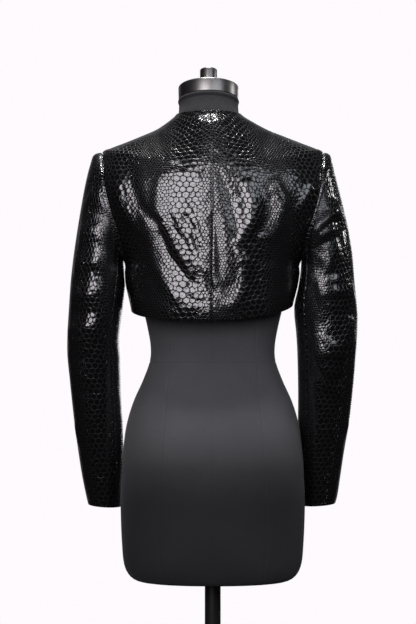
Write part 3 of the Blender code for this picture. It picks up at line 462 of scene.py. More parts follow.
def curve(low, leave, high, arrive, t):
    """Point at t, from 0 to 1, of a smooth curve with given directions at its two ends."""
    return (
        low * (1 + 2 * t) * (1 - t) ** 2
        + leave * t * (1 - t) ** 2
        + high * t**2 * (3 - 2 * t)
        + arrive * t**2 * (t - 1)
    )


def row_at(table, rows):
    """Columns of a table at real-numbered rows, on a smooth curve through the table's rows."""
    values = np.array(table, float)
    rows = np.clip(np.asarray(rows, float), 0, len(table) - 1)
    start = np.minimum(rows.astype(int), len(table) - 2)
    t = (rows - start)[..., None]
    before = values[np.maximum(start - 1, 0)]
    low = values[start]
    high = values[start + 1]
    after = values[np.minimum(start + 2, len(table) - 1)]
    return curve(low, (high - before) / 2, high, (after - low) / 2, t)


def smooth_step(t):
    t = np.clip(t, 0, 1)
    return t * t * (3 - 2 * t)


def section_point(table, angle, rows):
    """Point of a sectioned body at an angle (0 the wearer's left, 90 degrees the back)."""
    row = Section(*np.moveaxis(row_at(table, rows), -1, 0))
    power = 2 / row.squareness
    behind = np.sin(angle) > 0
    reach = np.abs(np.sin(angle))
    x = row.lean_x + row.half_width * np.sign(np.cos(angle)) * np.abs(np.cos(angle)) ** power
    y = np.where(behind, row.back_y, row.front_y) * reach**power
    middle_z = np.where(behind, row.back_z, row.front_z)
    z = row.side_z - row.side_drop * np.cos(angle) + (middle_z - row.side_z) * reach**row.sweep
    return np.stack([x, y, z], axis=-1)


def push_out_bust(points, bust):
    """Moves points of the front forwards over the bust."""
    x, y, z = np.moveaxis(points, -1, 0)
    spread_z = np.where(z > bust.apex_z, bust.spread_up, bust.spread_down)
    across = np.exp(-(((np.abs(x) - bust.apex_x) / bust.spread_x) ** 2))
    along = np.exp(-(((z - bust.apex_z) / spread_z) ** 2))
    in_front = smooth_step(-y / SIDE_BLEND)
    return np.stack([x, y - bust.depth * across * along * in_front, z], axis=-1)


def distance_to_line(u, v, line):
    """Distance of (u, v) to a line of points, and how far along it, from 0 to 1, it lies."""
    best = np.full(np.shape(u), 1e9)
    along = np.zeros(np.shape(u))
    lengths = [math.dist(a, b) for a, b in zip(line, line[1:])]
    done = 0.0
    for (au, av), (bu, bv), length in zip(line, line[1:], lengths):
        t = ((u - au) * (bu - au) + (v - av) * (bv - av)) / length**2
        t = np.clip(t, 0, 1)
        away = np.hypot(u - au - t * (bu - au), v - av - t * (bv - av))
        nearer = away < best
        best = np.where(nearer, away, best)
        along = np.where(nearer, (done + t * length) / sum(lengths), along)
        done += length
    return best, along


def fold_height(folds, u, v):
    """Height of all the folds at (u, v). Each fades out towards its ends."""
    total = np.zeros(np.shape(u))
    for fold in folds:
        away, along = distance_to_line(u, v, fold.line)
        fade = np.clip(4 * along * (1 - along), 0, 1) ** 0.5
        total += fold.height * fade * np.exp(-((away / fold.spread) ** 2))
    return total


def jacket_base(angle, rows):
    return push_out_bust(section_point(JACKET, angle, rows), JACKET_BUST)


def jacket_normal(angle, rows):
    """Outward direction of the jacket's smooth body."""
    step = 1e-3
    round_it = jacket_base(angle + step, rows) - jacket_base(angle - step, rows)
    upper = np.minimum(rows + 0.02, NECK_ROW)
    lower = np.maximum(rows - 0.02, HEM_ROW)
    up_it = jacket_base(angle, upper) - jacket_base(angle, lower)
    normal = np.cross(round_it, up_it)
    return normal / np.linalg.norm(normal, axis=-1, keepdims=True)


# Mesh steps. EDGE_STEPS are distances from an edge at which a fine line of points runs.
EDGE_STEPS = [0.0, 0.0002, 0.0005, 0.0009, 0.0015, 0.0022, 0.0031, 0.0042, 0.0056]
BODY_STEPS_ACROSS = 52
BODY_STEPS_BELOW = 24
BODY_STEPS_ARMHOLE = 56
BODY_STEPS_SHOULDER = 30
SLEEVE_STEPS_TOP = 74
SLEEVE_STEPS_UNDER = 26
SLEEVE_STEPS_DOWN = 210
HEAD_RINGS = 16

# The form of the edges: a free edge is rounded like a fold, a seam sinks like a sewn one.
# BODY_FOLDS pairs each list with its side: 1 behind, -1 in front.
FOLD_RADIUS = 0.0010
SEAM_SINK = 0.0011
SEAM_REACH = 0.0021
SLEEVE_SEAM_SHARE = 0.75
FREE_EDGE_SHARE = 0.9
BODY_FOLDS = [(BACK_FOLDS, 1), (BACK_CREASES, 1), (FRONT_CREASES, -1)]


def spaced(length, steps, fine_start=True, fine_end=True):
    """Distances from 0 to length, with fine steps at the ends that ask for them."""
    reach = min(EDGE_STEPS[-1], length / 4)
    fine = np.array(EDGE_STEPS) * reach / EDGE_STEPS[-1]
    low = fine if fine_start else np.zeros(1)
    high = length - fine[::-1] if fine_end else np.full(1, length)
    return np.concatenate([low, np.linspace(low[-1], high[0], steps + 1)[1:-1], high])


def unit(vectors):
    return vectors / np.linalg.norm(vectors, axis=-1, keepdims=True)


def run_of(points, axis):
    """Running length along one axis of a grid of points."""
    steps = np.linalg.norm(np.diff(points, axis=axis), axis=-1)
    start = np.zeros_like(np.take(steps, [0], axis=axis))
    return np.concatenate([start, np.cumsum(steps, axis=axis)], axis=axis)


def jacket_wall(angle, rows):
    """Outer points and outward directions of the jacket's body wall with its folds."""
    base = jacket_base(angle, rows)
    normal = jacket_normal(angle, rows)
    height = np.zeros(base.shape[:-1])
    for lines, side in BODY_FOLDS:
        facing = smooth_step(side * base[..., 1] / SIDE_BLEND)
        height += fold_height(lines, base[..., 0], base[..., 2]) * facing
    return base + normal * height[..., None], normal


def armhole_row(turn):
    middle = (SHOULDER_ROW + UNDERARM_ROW) / 2
    return middle + (SHOULDER_ROW - UNDERARM_ROW) / 2 * np.cos(turn)


def length_on_side(low, high):
    """Length of the body's side line between two rows."""
    rows = np.linspace(low, high, 60)
    return run_of(jacket_base(np.zeros(60), rows), 0)[-1]


def edge_rows():
    """Rows of a panel's side edge and the turn round the armhole at each, 0 elsewhere."""
    length = length_on_side(HEM_ROW, UNDERARM_ROW)
    run = spaced(length, BODY_STEPS_BELOW)
    below = (HEM_ROW + run / length * (UNDERARM_ROW - HEM_ROW))[:-1]
    turns = math.pi * (1 - spaced(1.0, BODY_STEPS_ARMHOLE))
    length = length_on_side(SHOULDER_ROW, NECK_ROW)
    run = spaced(length, BODY_STEPS_SHOULDER)
    above = (SHOULDER_ROW + run / length * (NECK_ROW - SHOULDER_ROW))[1:]
    rows = np.concatenate([below, armhole_row(turns), above])
    round_armhole = np.concatenate([0 * below, turns, 0 * above])
    return rows, round_armhole


def even_rows(angle, count):
    """Evenly spaced rows along the body at one angle, with fine steps at both ends."""
    fine = np.linspace(HEM_ROW, NECK_ROW, 800)
    run = run_of(jacket_base(np.full(fine.shape, angle), fine), 0)
    return np.interp(spaced(run[-1], count - 2 * len(EDGE_STEPS) + 1), run, fine)


def panel_grid(edge_sign, edge_angle, inner_angles, hem_rise):
    """Angles and rows of a panel, from its side edge to its middle edge, as the source cuts it."""
    rows, turns = edge_rows()
    side_angles = edge_sign * edge_angle * np.abs(np.sin(turns))
    middle_rows = even_rows(edge_sign * math.pi / 2, len(rows))
    width = length_across(rows, side_angles, middle_rows, edge_sign)
    across = np.stack([spaced(w, BODY_STEPS_ACROSS) / w for w in width])
    grid_rows = rows[:, None] + (middle_rows - rows)[:, None] * smooth_step(across)
    grid_rows = grid_rows + hem_rise(across) * (1 - grid_rows / NECK_ROW) ** HEM_RISE_FADE
    grid_angles = side_angles[:, None] * (1 - across) + inner_angles(grid_rows) * across
    return grid_angles, grid_rows


def length_across(rows, side_angles, middle_rows, edge_sign):
    share = np.linspace(0, 1, 24)[None, :]
    angles = side_angles[:, None] * (1 - share) + edge_sign * math.pi / 2 * share
    across_rows = rows[:, None] + (middle_rows - rows)[:, None] * smooth_step(share)
    return run_of(jacket_base(angles, across_rows), 1)[:, -1]


def back_panel_grid():
    def middle(rows):
        return np.full(rows.shape, math.pi / 2)

    return panel_grid(1, ARMHOLE_BACK_ANGLE, middle, np.zeros_like)


def front_edge_angle(rows):
    """Angle of the front edge, worked out from the half width left open at each row."""
    table = np.array(FRONT_OPENING)
    open_half = np.interp(rows, table[:, 0], table[:, 1])
    row = Section(*np.moveaxis(row_at(JACKET, rows), -1, 0))
    return -np.arccos((open_half / row.half_width) ** (row.squareness / 2))


def front_panel_grid():
    def corner_rise(across):
        share = np.clip((across - FRONT_CORNER_START) / (1 - FRONT_CORNER_START), 0, 1)
        return FRONT_CORNER_RISE * share**FRONT_CORNER_POWER

    return panel_grid(-1, ARMHOLE_FRONT_ANGLE, front_edge_angle, corner_rise)


def body_lengths(angles, rows, from_angle):
    """Lengths round the body from one angle and up it from the hem, at each point of a grid."""
    steps_a = np.linspace(-math.pi / 2, math.pi / 2, 91)
    steps_r = np.linspace(HEM_ROW, NECK_ROW, 120)
    grid_a, grid_r = np.meshgrid(steps_a, steps_r)
    points = jacket_base(grid_a, grid_r)
    round_it = run_of(points, 1)
    up_it = run_of(points, 0)
    fa = np.clip((angles - steps_a[0]) / (steps_a[1] - steps_a[0]), 0, len(steps_a) - 1.001)
    fr = np.clip(rows / (steps_r[1] - steps_r[0]), 0, len(steps_r) - 1.001)
    ia, ir = fa.astype(int), fr.astype(int)
    ta, tr = fa - ia, fr - ir

    def sample(table):
        low = table[ir, ia] * (1 - ta) + table[ir, ia + 1] * ta
        high = table[ir + 1, ia] * (1 - ta) + table[ir + 1, ia + 1] * ta
        return low * (1 - tr) + high * tr

    start = round_it[:, [0 if from_angle < 0 else -1]]
    return np.abs(sample(round_it - start)), sample(up_it)


def edge_profile(distance, radius):
    """How far a rounded edge falls at a distance from it."""
    inside = np.clip(1 - distance / radius, 0, 1)
    return radius * (1 - np.sqrt(np.clip(1 - inside**2, 0, 1)))


def shell(outer, normal, seams, free):
    """Outer and inner points of a panel's wall with its edges formed.

    seams and free hold distances of every point to the seams and to the free edges.
    """
    sink = SEAM_SINK * np.exp(-((seams / SEAM_REACH) ** 2))
    fold = edge_profile(free, FOLD_RADIUS) * FREE_EDGE_SHARE
    top = outer - normal * (sink + fold)[..., None]
    back = outer - normal * (WALL - fold * FREE_EDGE_SHARE)[..., None]
    return top, back


def lay_out(mesh, uv):
    """Lays a mesh out flat by one pair of lengths for each of its points."""
    layer = mesh.uv_layers.new(name="cut")
    corners = np.empty(len(mesh.loops), int)
    mesh.loops.foreach_get("vertex_index", corners)
    layer.data.foreach_set("uv", uv[corners].astype(np.float32).ravel())


def wall_mesh(name, outer, inner, uv):
    """A closed wall between two grids, its inner face in the second material slot."""
    rows, columns = outer.shape[:2]
    count = rows * columns
    vertices = np.concatenate([outer.reshape(-1, 3), inner.reshape(-1, 3)])
    index = np.arange(count).reshape(rows, columns)
    quads = np.stack([index[:-1, :-1], index[:-1, 1:], index[1:, 1:], index[1:, :-1]], -1)
    front = quads.reshape(-1, 4)
    back = front[:, ::-1] + count
    loop = np.concatenate([index[0, :-1], index[:-1, -1], index[-1, :0:-1], index[:0:-1, 0]])
    after = np.roll(loop, -1)
    rim = np.stack([loop, loop + count, after + count, after], -1)
    faces = np.concatenate([front, back, rim])
    normals = np.cross(outer[1, 1] - outer[0, 0], outer[1, 0] - outer[0, 1])
    if np.dot(normals, outer[0, 0] - inner[0, 0]) < 0:
        faces = faces[:, ::-1]
    mesh = bpy.data.meshes.new(name)
    mesh.from_pydata(vertices.tolist(), [], faces.tolist())
    lay_out(mesh, np.tile(uv.reshape(-1, 2), (2, 1)))
    slots = np.zeros(len(faces), int)
    slots[len(front):len(front) + len(back)] = 1
    mesh.polygons.foreach_set("material_index", slots)
    mesh.polygons.foreach_set("use_smooth", np.ones(len(faces), bool))
    mesh.update()
    return mesh


def drawn_in(grid, guide, first, last):
    """A wall whose first and last columns, where asked, give up half of the seam's air.

    Both walls of a panel move the way its outer wall, the guide, runs.
    """
    grid = grid.copy()
    for asked, edge, inside in ((first, 0, 1), (last, -1, -2)):
        if asked:
            inward = unit(guide[:, inside] - guide[:, edge])
            grid[:, edge] += inward * VISIBLE_GAP / 2
    return grid


def add_object(name, data):
    made = bpy.data.objects.new(name, data)
    bpy.context.scene.collection.objects.link(made)
    return made


def add_cloth(name, outer, inner, uv, flat, area, materials):
    """One cut piece of the jacket, which stands for its node."""
    mesh = wall_mesh(name + "_leather", outer, inner, uv)
    for material in materials:
        mesh.materials.append(material)
    piece = add_object(name + "_leather", mesh)
    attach(piece, "root")
    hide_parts(name)


def edge_distances(points):
    """Distances of every point of a grid to its first and last column and row."""
    across = run_of(points, 1)
    down = run_of(points, 0)
    return across, across[:, -1:] - across, down, down[-1:] - down


def add_body_panels(materials):
    """The two backs and the two fronts."""
    for piece, (angles, rows), middle in (
        ("back", back_panel_grid(), math.pi / 2),
        ("front", front_panel_grid(), -math.pi / 2),
    ):
        round_it, up_it = body_lengths(angles, rows, middle)
        is_back = piece == "back"
        for side, turned_angles in (("left", angles), ("right", math.pi - angles)):
            name = f"{piece}_{side}"
            outer, normal = jacket_wall(turned_angles, rows)
            first, last, low, high = edge_distances(outer)
            seams = np.minimum(first, last) if is_back else first
            free = np.minimum(low, high)
            if not is_back:
                free = np.minimum(free, last)
            walls = shell(outer, normal, seams, free)
            walls = [drawn_in(wall, walls[0], True, is_back) for wall in walls]
            for wall in walls:
                off_middle = np.maximum(np.abs(wall[..., 1]), VISIBLE_GAP / 2)
                wall[..., 1] = off_middle if is_back else -off_middle
            band = BANDS[name]
            uv = np.stack([round_it - band.start - band.slope * up_it, up_it + band.rise], -1)
            add_cloth(name, *walls, uv, *CUTS[piece], materials)


def armhole_loop(side, turns):
    """Points and outward directions of the body wall round the armhole.

    side is +1 for the wearer's left. The turn is 0 at the shoulder tip and 90 degrees behind.
    """
    widest = np.where(np.sin(turns) > 0, ARMHOLE_BACK_ANGLE, ARMHOLE_FRONT_ANGLE)
    angles = widest * np.sin(turns)
    if side < 0:
        angles = math.pi - angles
    return jacket_wall(angles, armhole_row(turns))


def sleeve_ellipses(table, side, rows, turns):
    """Points of the sleeve's sections, as a grid of rows by turns."""
    row = SleeveSection(*np.moveaxis(row_at(table, rows), -1, 0)[..., None])
    middle_x = (row.outer_x + row.inner_x) / 2
    middle_z = (row.outer_z + row.inner_z) / 2
    x = middle_x + (row.outer_x - row.inner_x) / 2 * np.cos(turns)
    z = middle_z + (row.outer_z - row.inner_z) / 2 * np.cos(turns)
    y = row.mid_y + row.half_depth * np.sin(turns)
    return np.stack(np.broadcast_arrays(side * x, y, z), axis=-1)


def grid_normals(grid):
    """Outward directions of a grid of rows by turns that closes on itself round the turns."""
    round_it = np.roll(grid, -1, axis=1) - np.roll(grid, 1, axis=1)
    normals = unit(np.cross(round_it, np.gradient(grid, axis=0)))
    from_middle = grid - grid.mean(axis=1, keepdims=True)
    return normals * np.sign((normals * from_middle).sum())


def sleeve_head(start, away, out, first_ring, onward, turns, t):
    """Rings on smooth curves from the armhole's edge to the sleeve's first ring."""
    reach = np.linalg.norm(first_ring - start, axis=-1, keepdims=True)
    lift = HEAD_LIFT + SHOULDER_LIFT * np.clip(np.cos(turns), 0, 1)[:, None]
    leave = (away + out * lift) * reach
    return curve(start, leave, first_ring, onward * reach, t[:, None, None])


def sleeve_turns():
    """Turns round a sleeve, with fine steps at its two seams, and where the top piece ends."""
    seam = 2 * math.pi * SLEEVE_SEAM_STEP / SLEEVE_SEAM_STEPS
    girth = 2 * math.pi * SLEEVE_FOLD_RADIUS
    top = spaced(girth * seam / math.pi, SLEEVE_STEPS_TOP) / SLEEVE_FOLD_RADIUS - seam
    under = spaced(girth * (1 - seam / math.pi), SLEEVE_STEPS_UNDER) / SLEEVE_FOLD_RADIUS + seam
    return np.concatenate([top, under[1:-1]]), len(top)


def sleeve_grid(table, folds, side, turns):
    """Outer points of a sleeve, from armhole to cuff by turns, and their outward directions."""
    fine = np.linspace(0, len(table) - 1, 800)
    run = run_of(sleeve_ellipses(table, side, fine, np.zeros(1))[:, 0], 0)
    down = spaced(run[-1], SLEEVE_STEPS_DOWN, fine_start=False)
    tube = sleeve_ellipses(table, side, np.interp(down, run, fine), turns)
    hole, out = armhole_loop(side, turns)
    seam = np.roll(hole, -1, axis=0) - np.roll(hole, 1, axis=0)
    away = unit(np.cross(out, seam))
    away *= np.sign((away * (tube[0] - hole)).sum())
    near = np.array(EDGE_STEPS) / HEAD_REACH
    t = np.concatenate([near, np.linspace(near[-1], 1, HEAD_RINGS)[1:-1]])
    start = hole + away * VISIBLE_GAP
    head = sleeve_head(start, away, out, tube[0], unit(tube[1] - tube[0]), turns, t)
    grid = np.concatenate([head, tube])
    away_from_seam = run_of(grid, 0)
    lines = [
        fold._replace(line=[(math.radians(a) * SLEEVE_FOLD_RADIUS, z) for a, z in fold.line])
        for fold in folds
    ]
    girth = 2 * math.pi * SLEEVE_FOLD_RADIUS
    round_it = np.mod(turns, 2 * math.pi) * SLEEVE_FOLD_RADIUS + np.zeros(grid.shape[:2])
    height = fold_height(lines, round_it, grid[..., 2])
    height += fold_height(lines, round_it - girth, grid[..., 2])
    height *= smooth_step(away_from_seam / HEAD_REACH)
    grid = grid + grid_normals(grid) * height[..., None]
    return grid, grid_normals(grid)


def add_sleeve(table, folds, side, name, materials):
    """A two-piece sleeve: the top sleeve over the outside and the under sleeve beneath."""
    turns, top_count = sleeve_turns()
    grid, normal = sleeve_grid(table, folds, side, turns)
    every = np.arange(len(turns))
    top = every[:top_count]
    under = np.concatenate([every[top_count - 1 :], every[:1]])
    up_all = run_of(grid[::-1], 0)[::-1]
    for piece, columns in (("top_sleeve", top), ("under_sleeve", under)):
        node = f"{piece}_{name}"
        outer, out = grid[:, columns], normal[:, columns]
        first, last, low, high = edge_distances(outer)
        seams = np.minimum(np.minimum(first, last) / SLEEVE_SEAM_SHARE, low)
        walls = shell(outer, out, seams, high)
        walls = [drawn_in(wall, walls[0], True, True) for wall in walls]
        band = BANDS[node]
        up_it = up_all[:, columns]
        across = first - first.mean(axis=1, keepdims=True)
        uv = np.stack([across - band.start - band.slope * up_it, up_it + band.rise], -1)
        add_cloth(node, *walls, uv, *CUTS[piece], materials)


def seam_angles(z):
    """Angles of the form's eight lengthways seams at a height, and of the first again."""
    half_width = np.interp(z, [row.side_z for row in TORSO], [row.half_width for row in TORSO])
    back, front = (
        np.arccos(
            np.clip(np.interp(z, list(seam), list(seam.values())) / half_width, 0, FORM_SEAM_LIMIT)
            ** FORM_SEAM_POWER
        )
        for seam in (FORM_SEAM_BACK, FORM_SEAM_FRONT)
    )
    side = np.zeros_like(back)
    knots = [side, back, side + math.pi / 2, math.pi - back, side + math.pi, math.pi + front]
    knots += [side + 1.5 * math.pi, 2 * math.pi - front, side + 2 * math.pi]
    return np.stack(knots, -1)


def ring(radius, height, angles):
    """Points of a level ring round the vertical axis."""
    return np.stack([radius * np.cos(angles), radius * np.sin(angles), height + 0 * angles], -1)


def neck_ring(radius, height, angles):
    """A ring round the neck's tilted axis, at a height from its top."""
    c, s = math.cos(NECK_TILT), math.sin(NECK_TILT)
    turn = np.array([[1, 0, 0], [0, c, -s], [0, s, c]])
    return ring(radius, height, angles) @ turn.T + np.array(NECK_TOP)


def closed_mesh(name, grid, uv=None):
    """A smooth mesh from a grid of rings that close on themselves, with flat ends."""
    rings, count = grid.shape[:2]
    index = np.arange(rings * count).reshape(rings, count)
    after = np.roll(index, -1, axis=1)
    quads = np.stack([index[:-1], after[:-1], after[1:], index[1:]], -1).reshape(-1, 4).tolist()
    quads.append(index[0, ::-1].tolist())
    quads.append(index[-1].tolist())
    mesh = bpy.data.meshes.new(name)
    mesh.from_pydata(grid.reshape(-1, 3).tolist(), [], quads)
    if uv is not None:
        lay_out(mesh, uv.reshape(-1, 2))
    mesh.polygons.foreach_set("use_smooth", np.ones(len(quads), bool))
    mesh.set_sharp_from_angle(angle=math.radians(50))
    mesh.update()
    return mesh


def add_form(material):
    """The covered torso in eight gores, with its lengthways seams and its waist seam sunk."""
    fine = np.linspace(0, len(TORSO) - 1, 900)
    side = section_point(TORSO, np.zeros(len(fine)), fine)
    run = run_of(side, 0)
    waist = np.interp(WAIST_SEAM_Z, side[:, 2], run)
    below = spaced(waist, FORM_STEPS_BELOW, fine_start=False)
    above = waist + spaced(run[-1] - waist, FORM_STEPS_ABOVE, fine_end=False)
    rows = np.interp(np.concatenate([below, above[1:]]), run, fine)
    heights = section_point(TORSO, np.zeros(len(rows)), rows)[:, 2]
    knots = seam_angles(heights)
    share = spaced(FORM_GORE_WIDTH, FORM_STEPS_GORE)[:-1] / FORM_GORE_WIDTH
    gores = range(knots.shape[1] - 1)
    angles = np.concatenate(
        [knots[:, [k]] + (knots[:, [k + 1]] - knots[:, [k]]) * share for k in gores], axis=1
    )
    smooth = section_point(TORSO, angles, rows[:, None] + np.zeros_like(angles))
    points = push_out_bust(smooth, FORM_BUST)
    lengthways = np.tile(np.minimum(share, 1 - share) * FORM_GORE_WIDTH, len(gores))
    across = np.abs(points[..., 2] - WAIST_SEAM_Z)
    fade = smooth_step((heights[:, None] - FORM_BOTTOM_Z) / FORM_SEAM_FADE)
    sink = FORM_SEAM_SINK * (
        np.exp(-((lengthways / FORM_SEAM_REACH) ** 2)) * fade
        + np.exp(-((across / FORM_SEAM_REACH) ** 2))
    )
    points = points - grid_normals(points) * np.minimum(sink, FORM_SEAM_SINK)[..., None]
    bore = POLE_RADIUS + CLEARANCE
    socket = [(bore, SOCKET_DEPTH), (bore, 0), (FORM_UNDERSIDE_RADIUS, 0)]
    floor = [ring(radius, FORM_BOTTOM_Z + depth, angles[0]) for radius, depth in socket]
    top = angles[-1]
    beads = [neck_ring(NECK_RADIUS + bead.outset, bead.height, top) for bead in smooth_bead()]
    grid = np.stack([*floor, *points, *beads])
    girth = angles * FORM_KNIT_RADIUS
    girth = np.concatenate([girth[[0] * len(floor)], girth, girth[[-1] * len(beads)]])
    uv = np.stack([girth, run_of(grid, 0)], -1)
    piece = add_object("form_cover", closed_mesh("form_cover", grid, uv))
    piece.data.materials.append(material)
    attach(piece, "root")
    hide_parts("dress_form")


def smooth_bead():
    """The rolled bead at the neck's end, with the steps of a smooth curve through its table."""
    rows = np.linspace(0, len(NECK_BEAD) - 1, 25)
    return [NeckRing(*values) for values in row_at(NECK_BEAD, rows)]


def turned(name, profile, steps=128):
    """A smooth solid of revolution from a profile of (radius, z) points off its axis."""
    angles = np.linspace(0, 2 * math.pi, steps + 1)[:-1]
    return closed_mesh(name, np.stack([ring(r, z, angles) for r, z in profile]))


def rounded_corner(radius, z, fillet, steps=8):
    """Profile points of a round upper edge whose sharp corner would be at (radius, z)."""
    turns = np.linspace(0, math.pi / 2, steps + 1)
    return [(radius - fillet * (1 - math.cos(a)), z - fillet * (1 - math.sin(a))) for a in turns]


def foot_corner(radius, z, fillet, steps=4):
    """Profile points of a round lower edge whose sharp corner would be at (radius, z)."""
    turns = np.linspace(0, math.pi / 2, steps + 1)
    return [(radius - fillet * (1 - math.sin(a)), z + fillet * (1 - math.cos(a))) for a in turns]


def place(mesh, node, material, slot, location=(0, 0, 0), tilt=0.0):
    """A turned piece in its place, which stands for its node."""
    piece = add_object(node + "_turned", mesh)
    piece.location = location
    piece.rotation_euler = (tilt, 0, 0)
    mesh.materials.append(material)
    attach(piece, "root")
    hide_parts(node)


def add_stand(paint):
    """Pole and round base plate."""
    bore = POLE_RADIUS + CLEARANCE
    profile = foot_corner(BASE_RADIUS, 0, BASE_FOOT_CHAMFER)
    profile += rounded_corner(BASE_RADIUS, BASE_THICKNESS, BASE_EDGE_RADIUS)
    for turn in np.linspace(0, math.pi / 2, BOSS_FLARE_STEPS + 1):
        radius = BOSS_RADIUS + BOSS_FLARE - BOSS_FLARE * math.sin(turn)
        profile.append((radius, BASE_THICKNESS + BOSS_FLARE - BOSS_FLARE * math.cos(turn)))
    profile += rounded_corner(BOSS_RADIUS, BOSS_TOP_Z, BASE_EDGE_RADIUS)
    profile += [(bore, BOSS_TOP_Z), (bore, BASE_FLOOR)]
    place(turned("base_plate_turned", profile), "base_plate", paint, "black_paint")
    head_z = FORM_BOTTOM_Z + SOCKET_DEPTH - CLEARANCE
    profile = foot_corner(POLE_RADIUS, BASE_FLOOR + CLEARANCE, POLE_CHAMFER)
    profile += rounded_corner(POLE_RADIUS, head_z, POLE_CHAMFER)
    place(turned("pole_turned", profile, 96), "pole", paint, "black_paint")


def add_neck_cap(chrome):
    """Drum-shaped cap and its knob, on the tilted top of the neck."""
    profile = foot_corner(CAP_RADIUS - CAP_TAPER, 0, CAP_FOOT_CHAMFER)
    profile += rounded_corner(CAP_RADIUS, CAP_HEIGHT - CAP_DOME, CAP_EDGE_RADIUS)
    for share in np.linspace(0.1, 1.0, 10):
        radius = (CAP_RADIUS - CAP_EDGE_RADIUS) * (1 - share) + CAP_FLAT_RADIUS * share
        profile.append((radius, CAP_HEIGHT - CAP_DOME * (1 - share) ** 2))
    axis = Vector((0, -math.sin(NECK_TILT), math.cos(NECK_TILT)))
    place(turned("neck_cap_turned", profile, 160), "neck_cap", chrome, "chrome",
          NECK_TOP + axis * CLEARANCE, NECK_TILT)
    profile = foot_corner(KNOB_RADIUS, 0, KNOB_FOOT_CHAMFER)
    profile += rounded_corner(KNOB_RADIUS, KNOB_HEIGHT, KNOB_CHAMFER)
    place(turned("neck_knob_turned", profile, 96), "neck_knob", chrome, "chrome",
          NECK_TOP + axis * (CAP_HEIGHT + 2 * CLEARANCE), NECK_TILT)


def opaque(colour):
    """The four levels of a colour given as one grey level or as three levels."""
    if isinstance(colour, bpy.types.NodeSocket):
        return colour
    return (*(colour if isinstance(colour, tuple) else (colour,) * 3), 1)


class Graph:
    """Adds nodes with short calls to the tree of a material or a world."""

    # Sockets of the Mix node's kinds: the low value, the high value and the result
    MIX_SOCKETS = {"FLOAT": (2, 3, 0), "VECTOR": (4, 5, 1), "RGBA": (6, 7, 2)}

    def __init__(self, owner):
        owner.use_nodes = True
        self.owner = owner
        self.tree = owner.node_tree

    def put(self, socket, value):
        if isinstance(value, bpy.types.NodeSocket):
            self.tree.links.new(value, socket)
        else:
            socket.default_value = value

    def add(self, kind, inputs=None, **settings):
        made = self.tree.nodes.new("ShaderNode" + kind)
        for key, value in settings.items():
            setattr(made, key, value)
        for key, value in (inputs or {}).items():
            self.put(made.inputs[key], value)
        return made

    def math(self, operation, *values):
        return self.add("Math", dict(enumerate(values)), operation=operation).outputs[0]

    def vector(self, operation, *values, scale=None):
        made = self.add("VectorMath", dict(enumerate(values)), operation=operation)
        if scale is not None:
            made.inputs["Scale"].default_value = scale
        return made.outputs["Value" if operation in ("DOT_PRODUCT", "LENGTH") else "Vector"]

    def total(self, *products):
        """Sum of products, from a pair of factors each. A lone value counts once."""
        sum_so_far = None
        for product in products:
            if isinstance(product, tuple):
                product = self.math("MULTIPLY", *product)
            first = sum_so_far is None
            sum_so_far = product if first else self.math("ADD", sum_so_far, product)
        return sum_so_far

    def mix(self, share, low, high, kind="FLOAT"):
        low_socket, high_socket, result = self.MIX_SOCKETS[kind]
        inputs = {0: share, low_socket: low, high_socket: high}
        return self.add("Mix", inputs, data_type=kind).outputs[result]

    def shade(self, share, low, high):
        """A colour between two, each given as one grey level or as three levels."""
        return self.mix(share, opaque(low), opaque(high), "RGBA")

    def ramp(self, value, low, high):
        inputs = {"Value": value, "From Min": low, "From Max": high}
        return self.add("MapRange", inputs, interpolation_type="SMOOTHSTEP").outputs[0]

    def split(self, vector):
        return self.add("SeparateXYZ", {"Vector": vector}).outputs

    def place(self, kind):
        return self.add("TexCoord").outputs[kind]

    def noise(self, vector, scale, detail=2.0, dimensions="2D"):
        inputs = {"Vector": vector, "Scale": scale, "Detail": detail}
        return self.add("TexNoise", inputs, noise_dimensions=dimensions).outputs[0]

    def shift(self, vector, scale, reach, detail=2.0):
        """A move in the plane of a vector by a noise, by half of reach either way."""
        inputs = {"Vector": vector, "Scale": scale, "Detail": detail}
        noise = self.add("TexNoise", inputs, noise_dimensions="2D")
        centred = self.vector("SUBTRACT", noise.outputs["Color"], (0.5, 0.5, 0.5))
        return self.vector("MULTIPLY", centred, (reach, reach, 0))

    def bump(self, height, distance, strength):
        inputs = {"Height": height, "Distance": distance, "Strength": strength}
        return self.add("Bump", inputs).outputs[0]

    def finish(self, **values):
        """The owner, a material, once its shader has these values."""
        for key, value in values.items():
            self.put(self.tree.nodes["Principled BSDF"].inputs[key.replace("_", " ")], value)
        return self.owner


def material_graph(name):
    return Graph(bpy.data.materials.new(name))


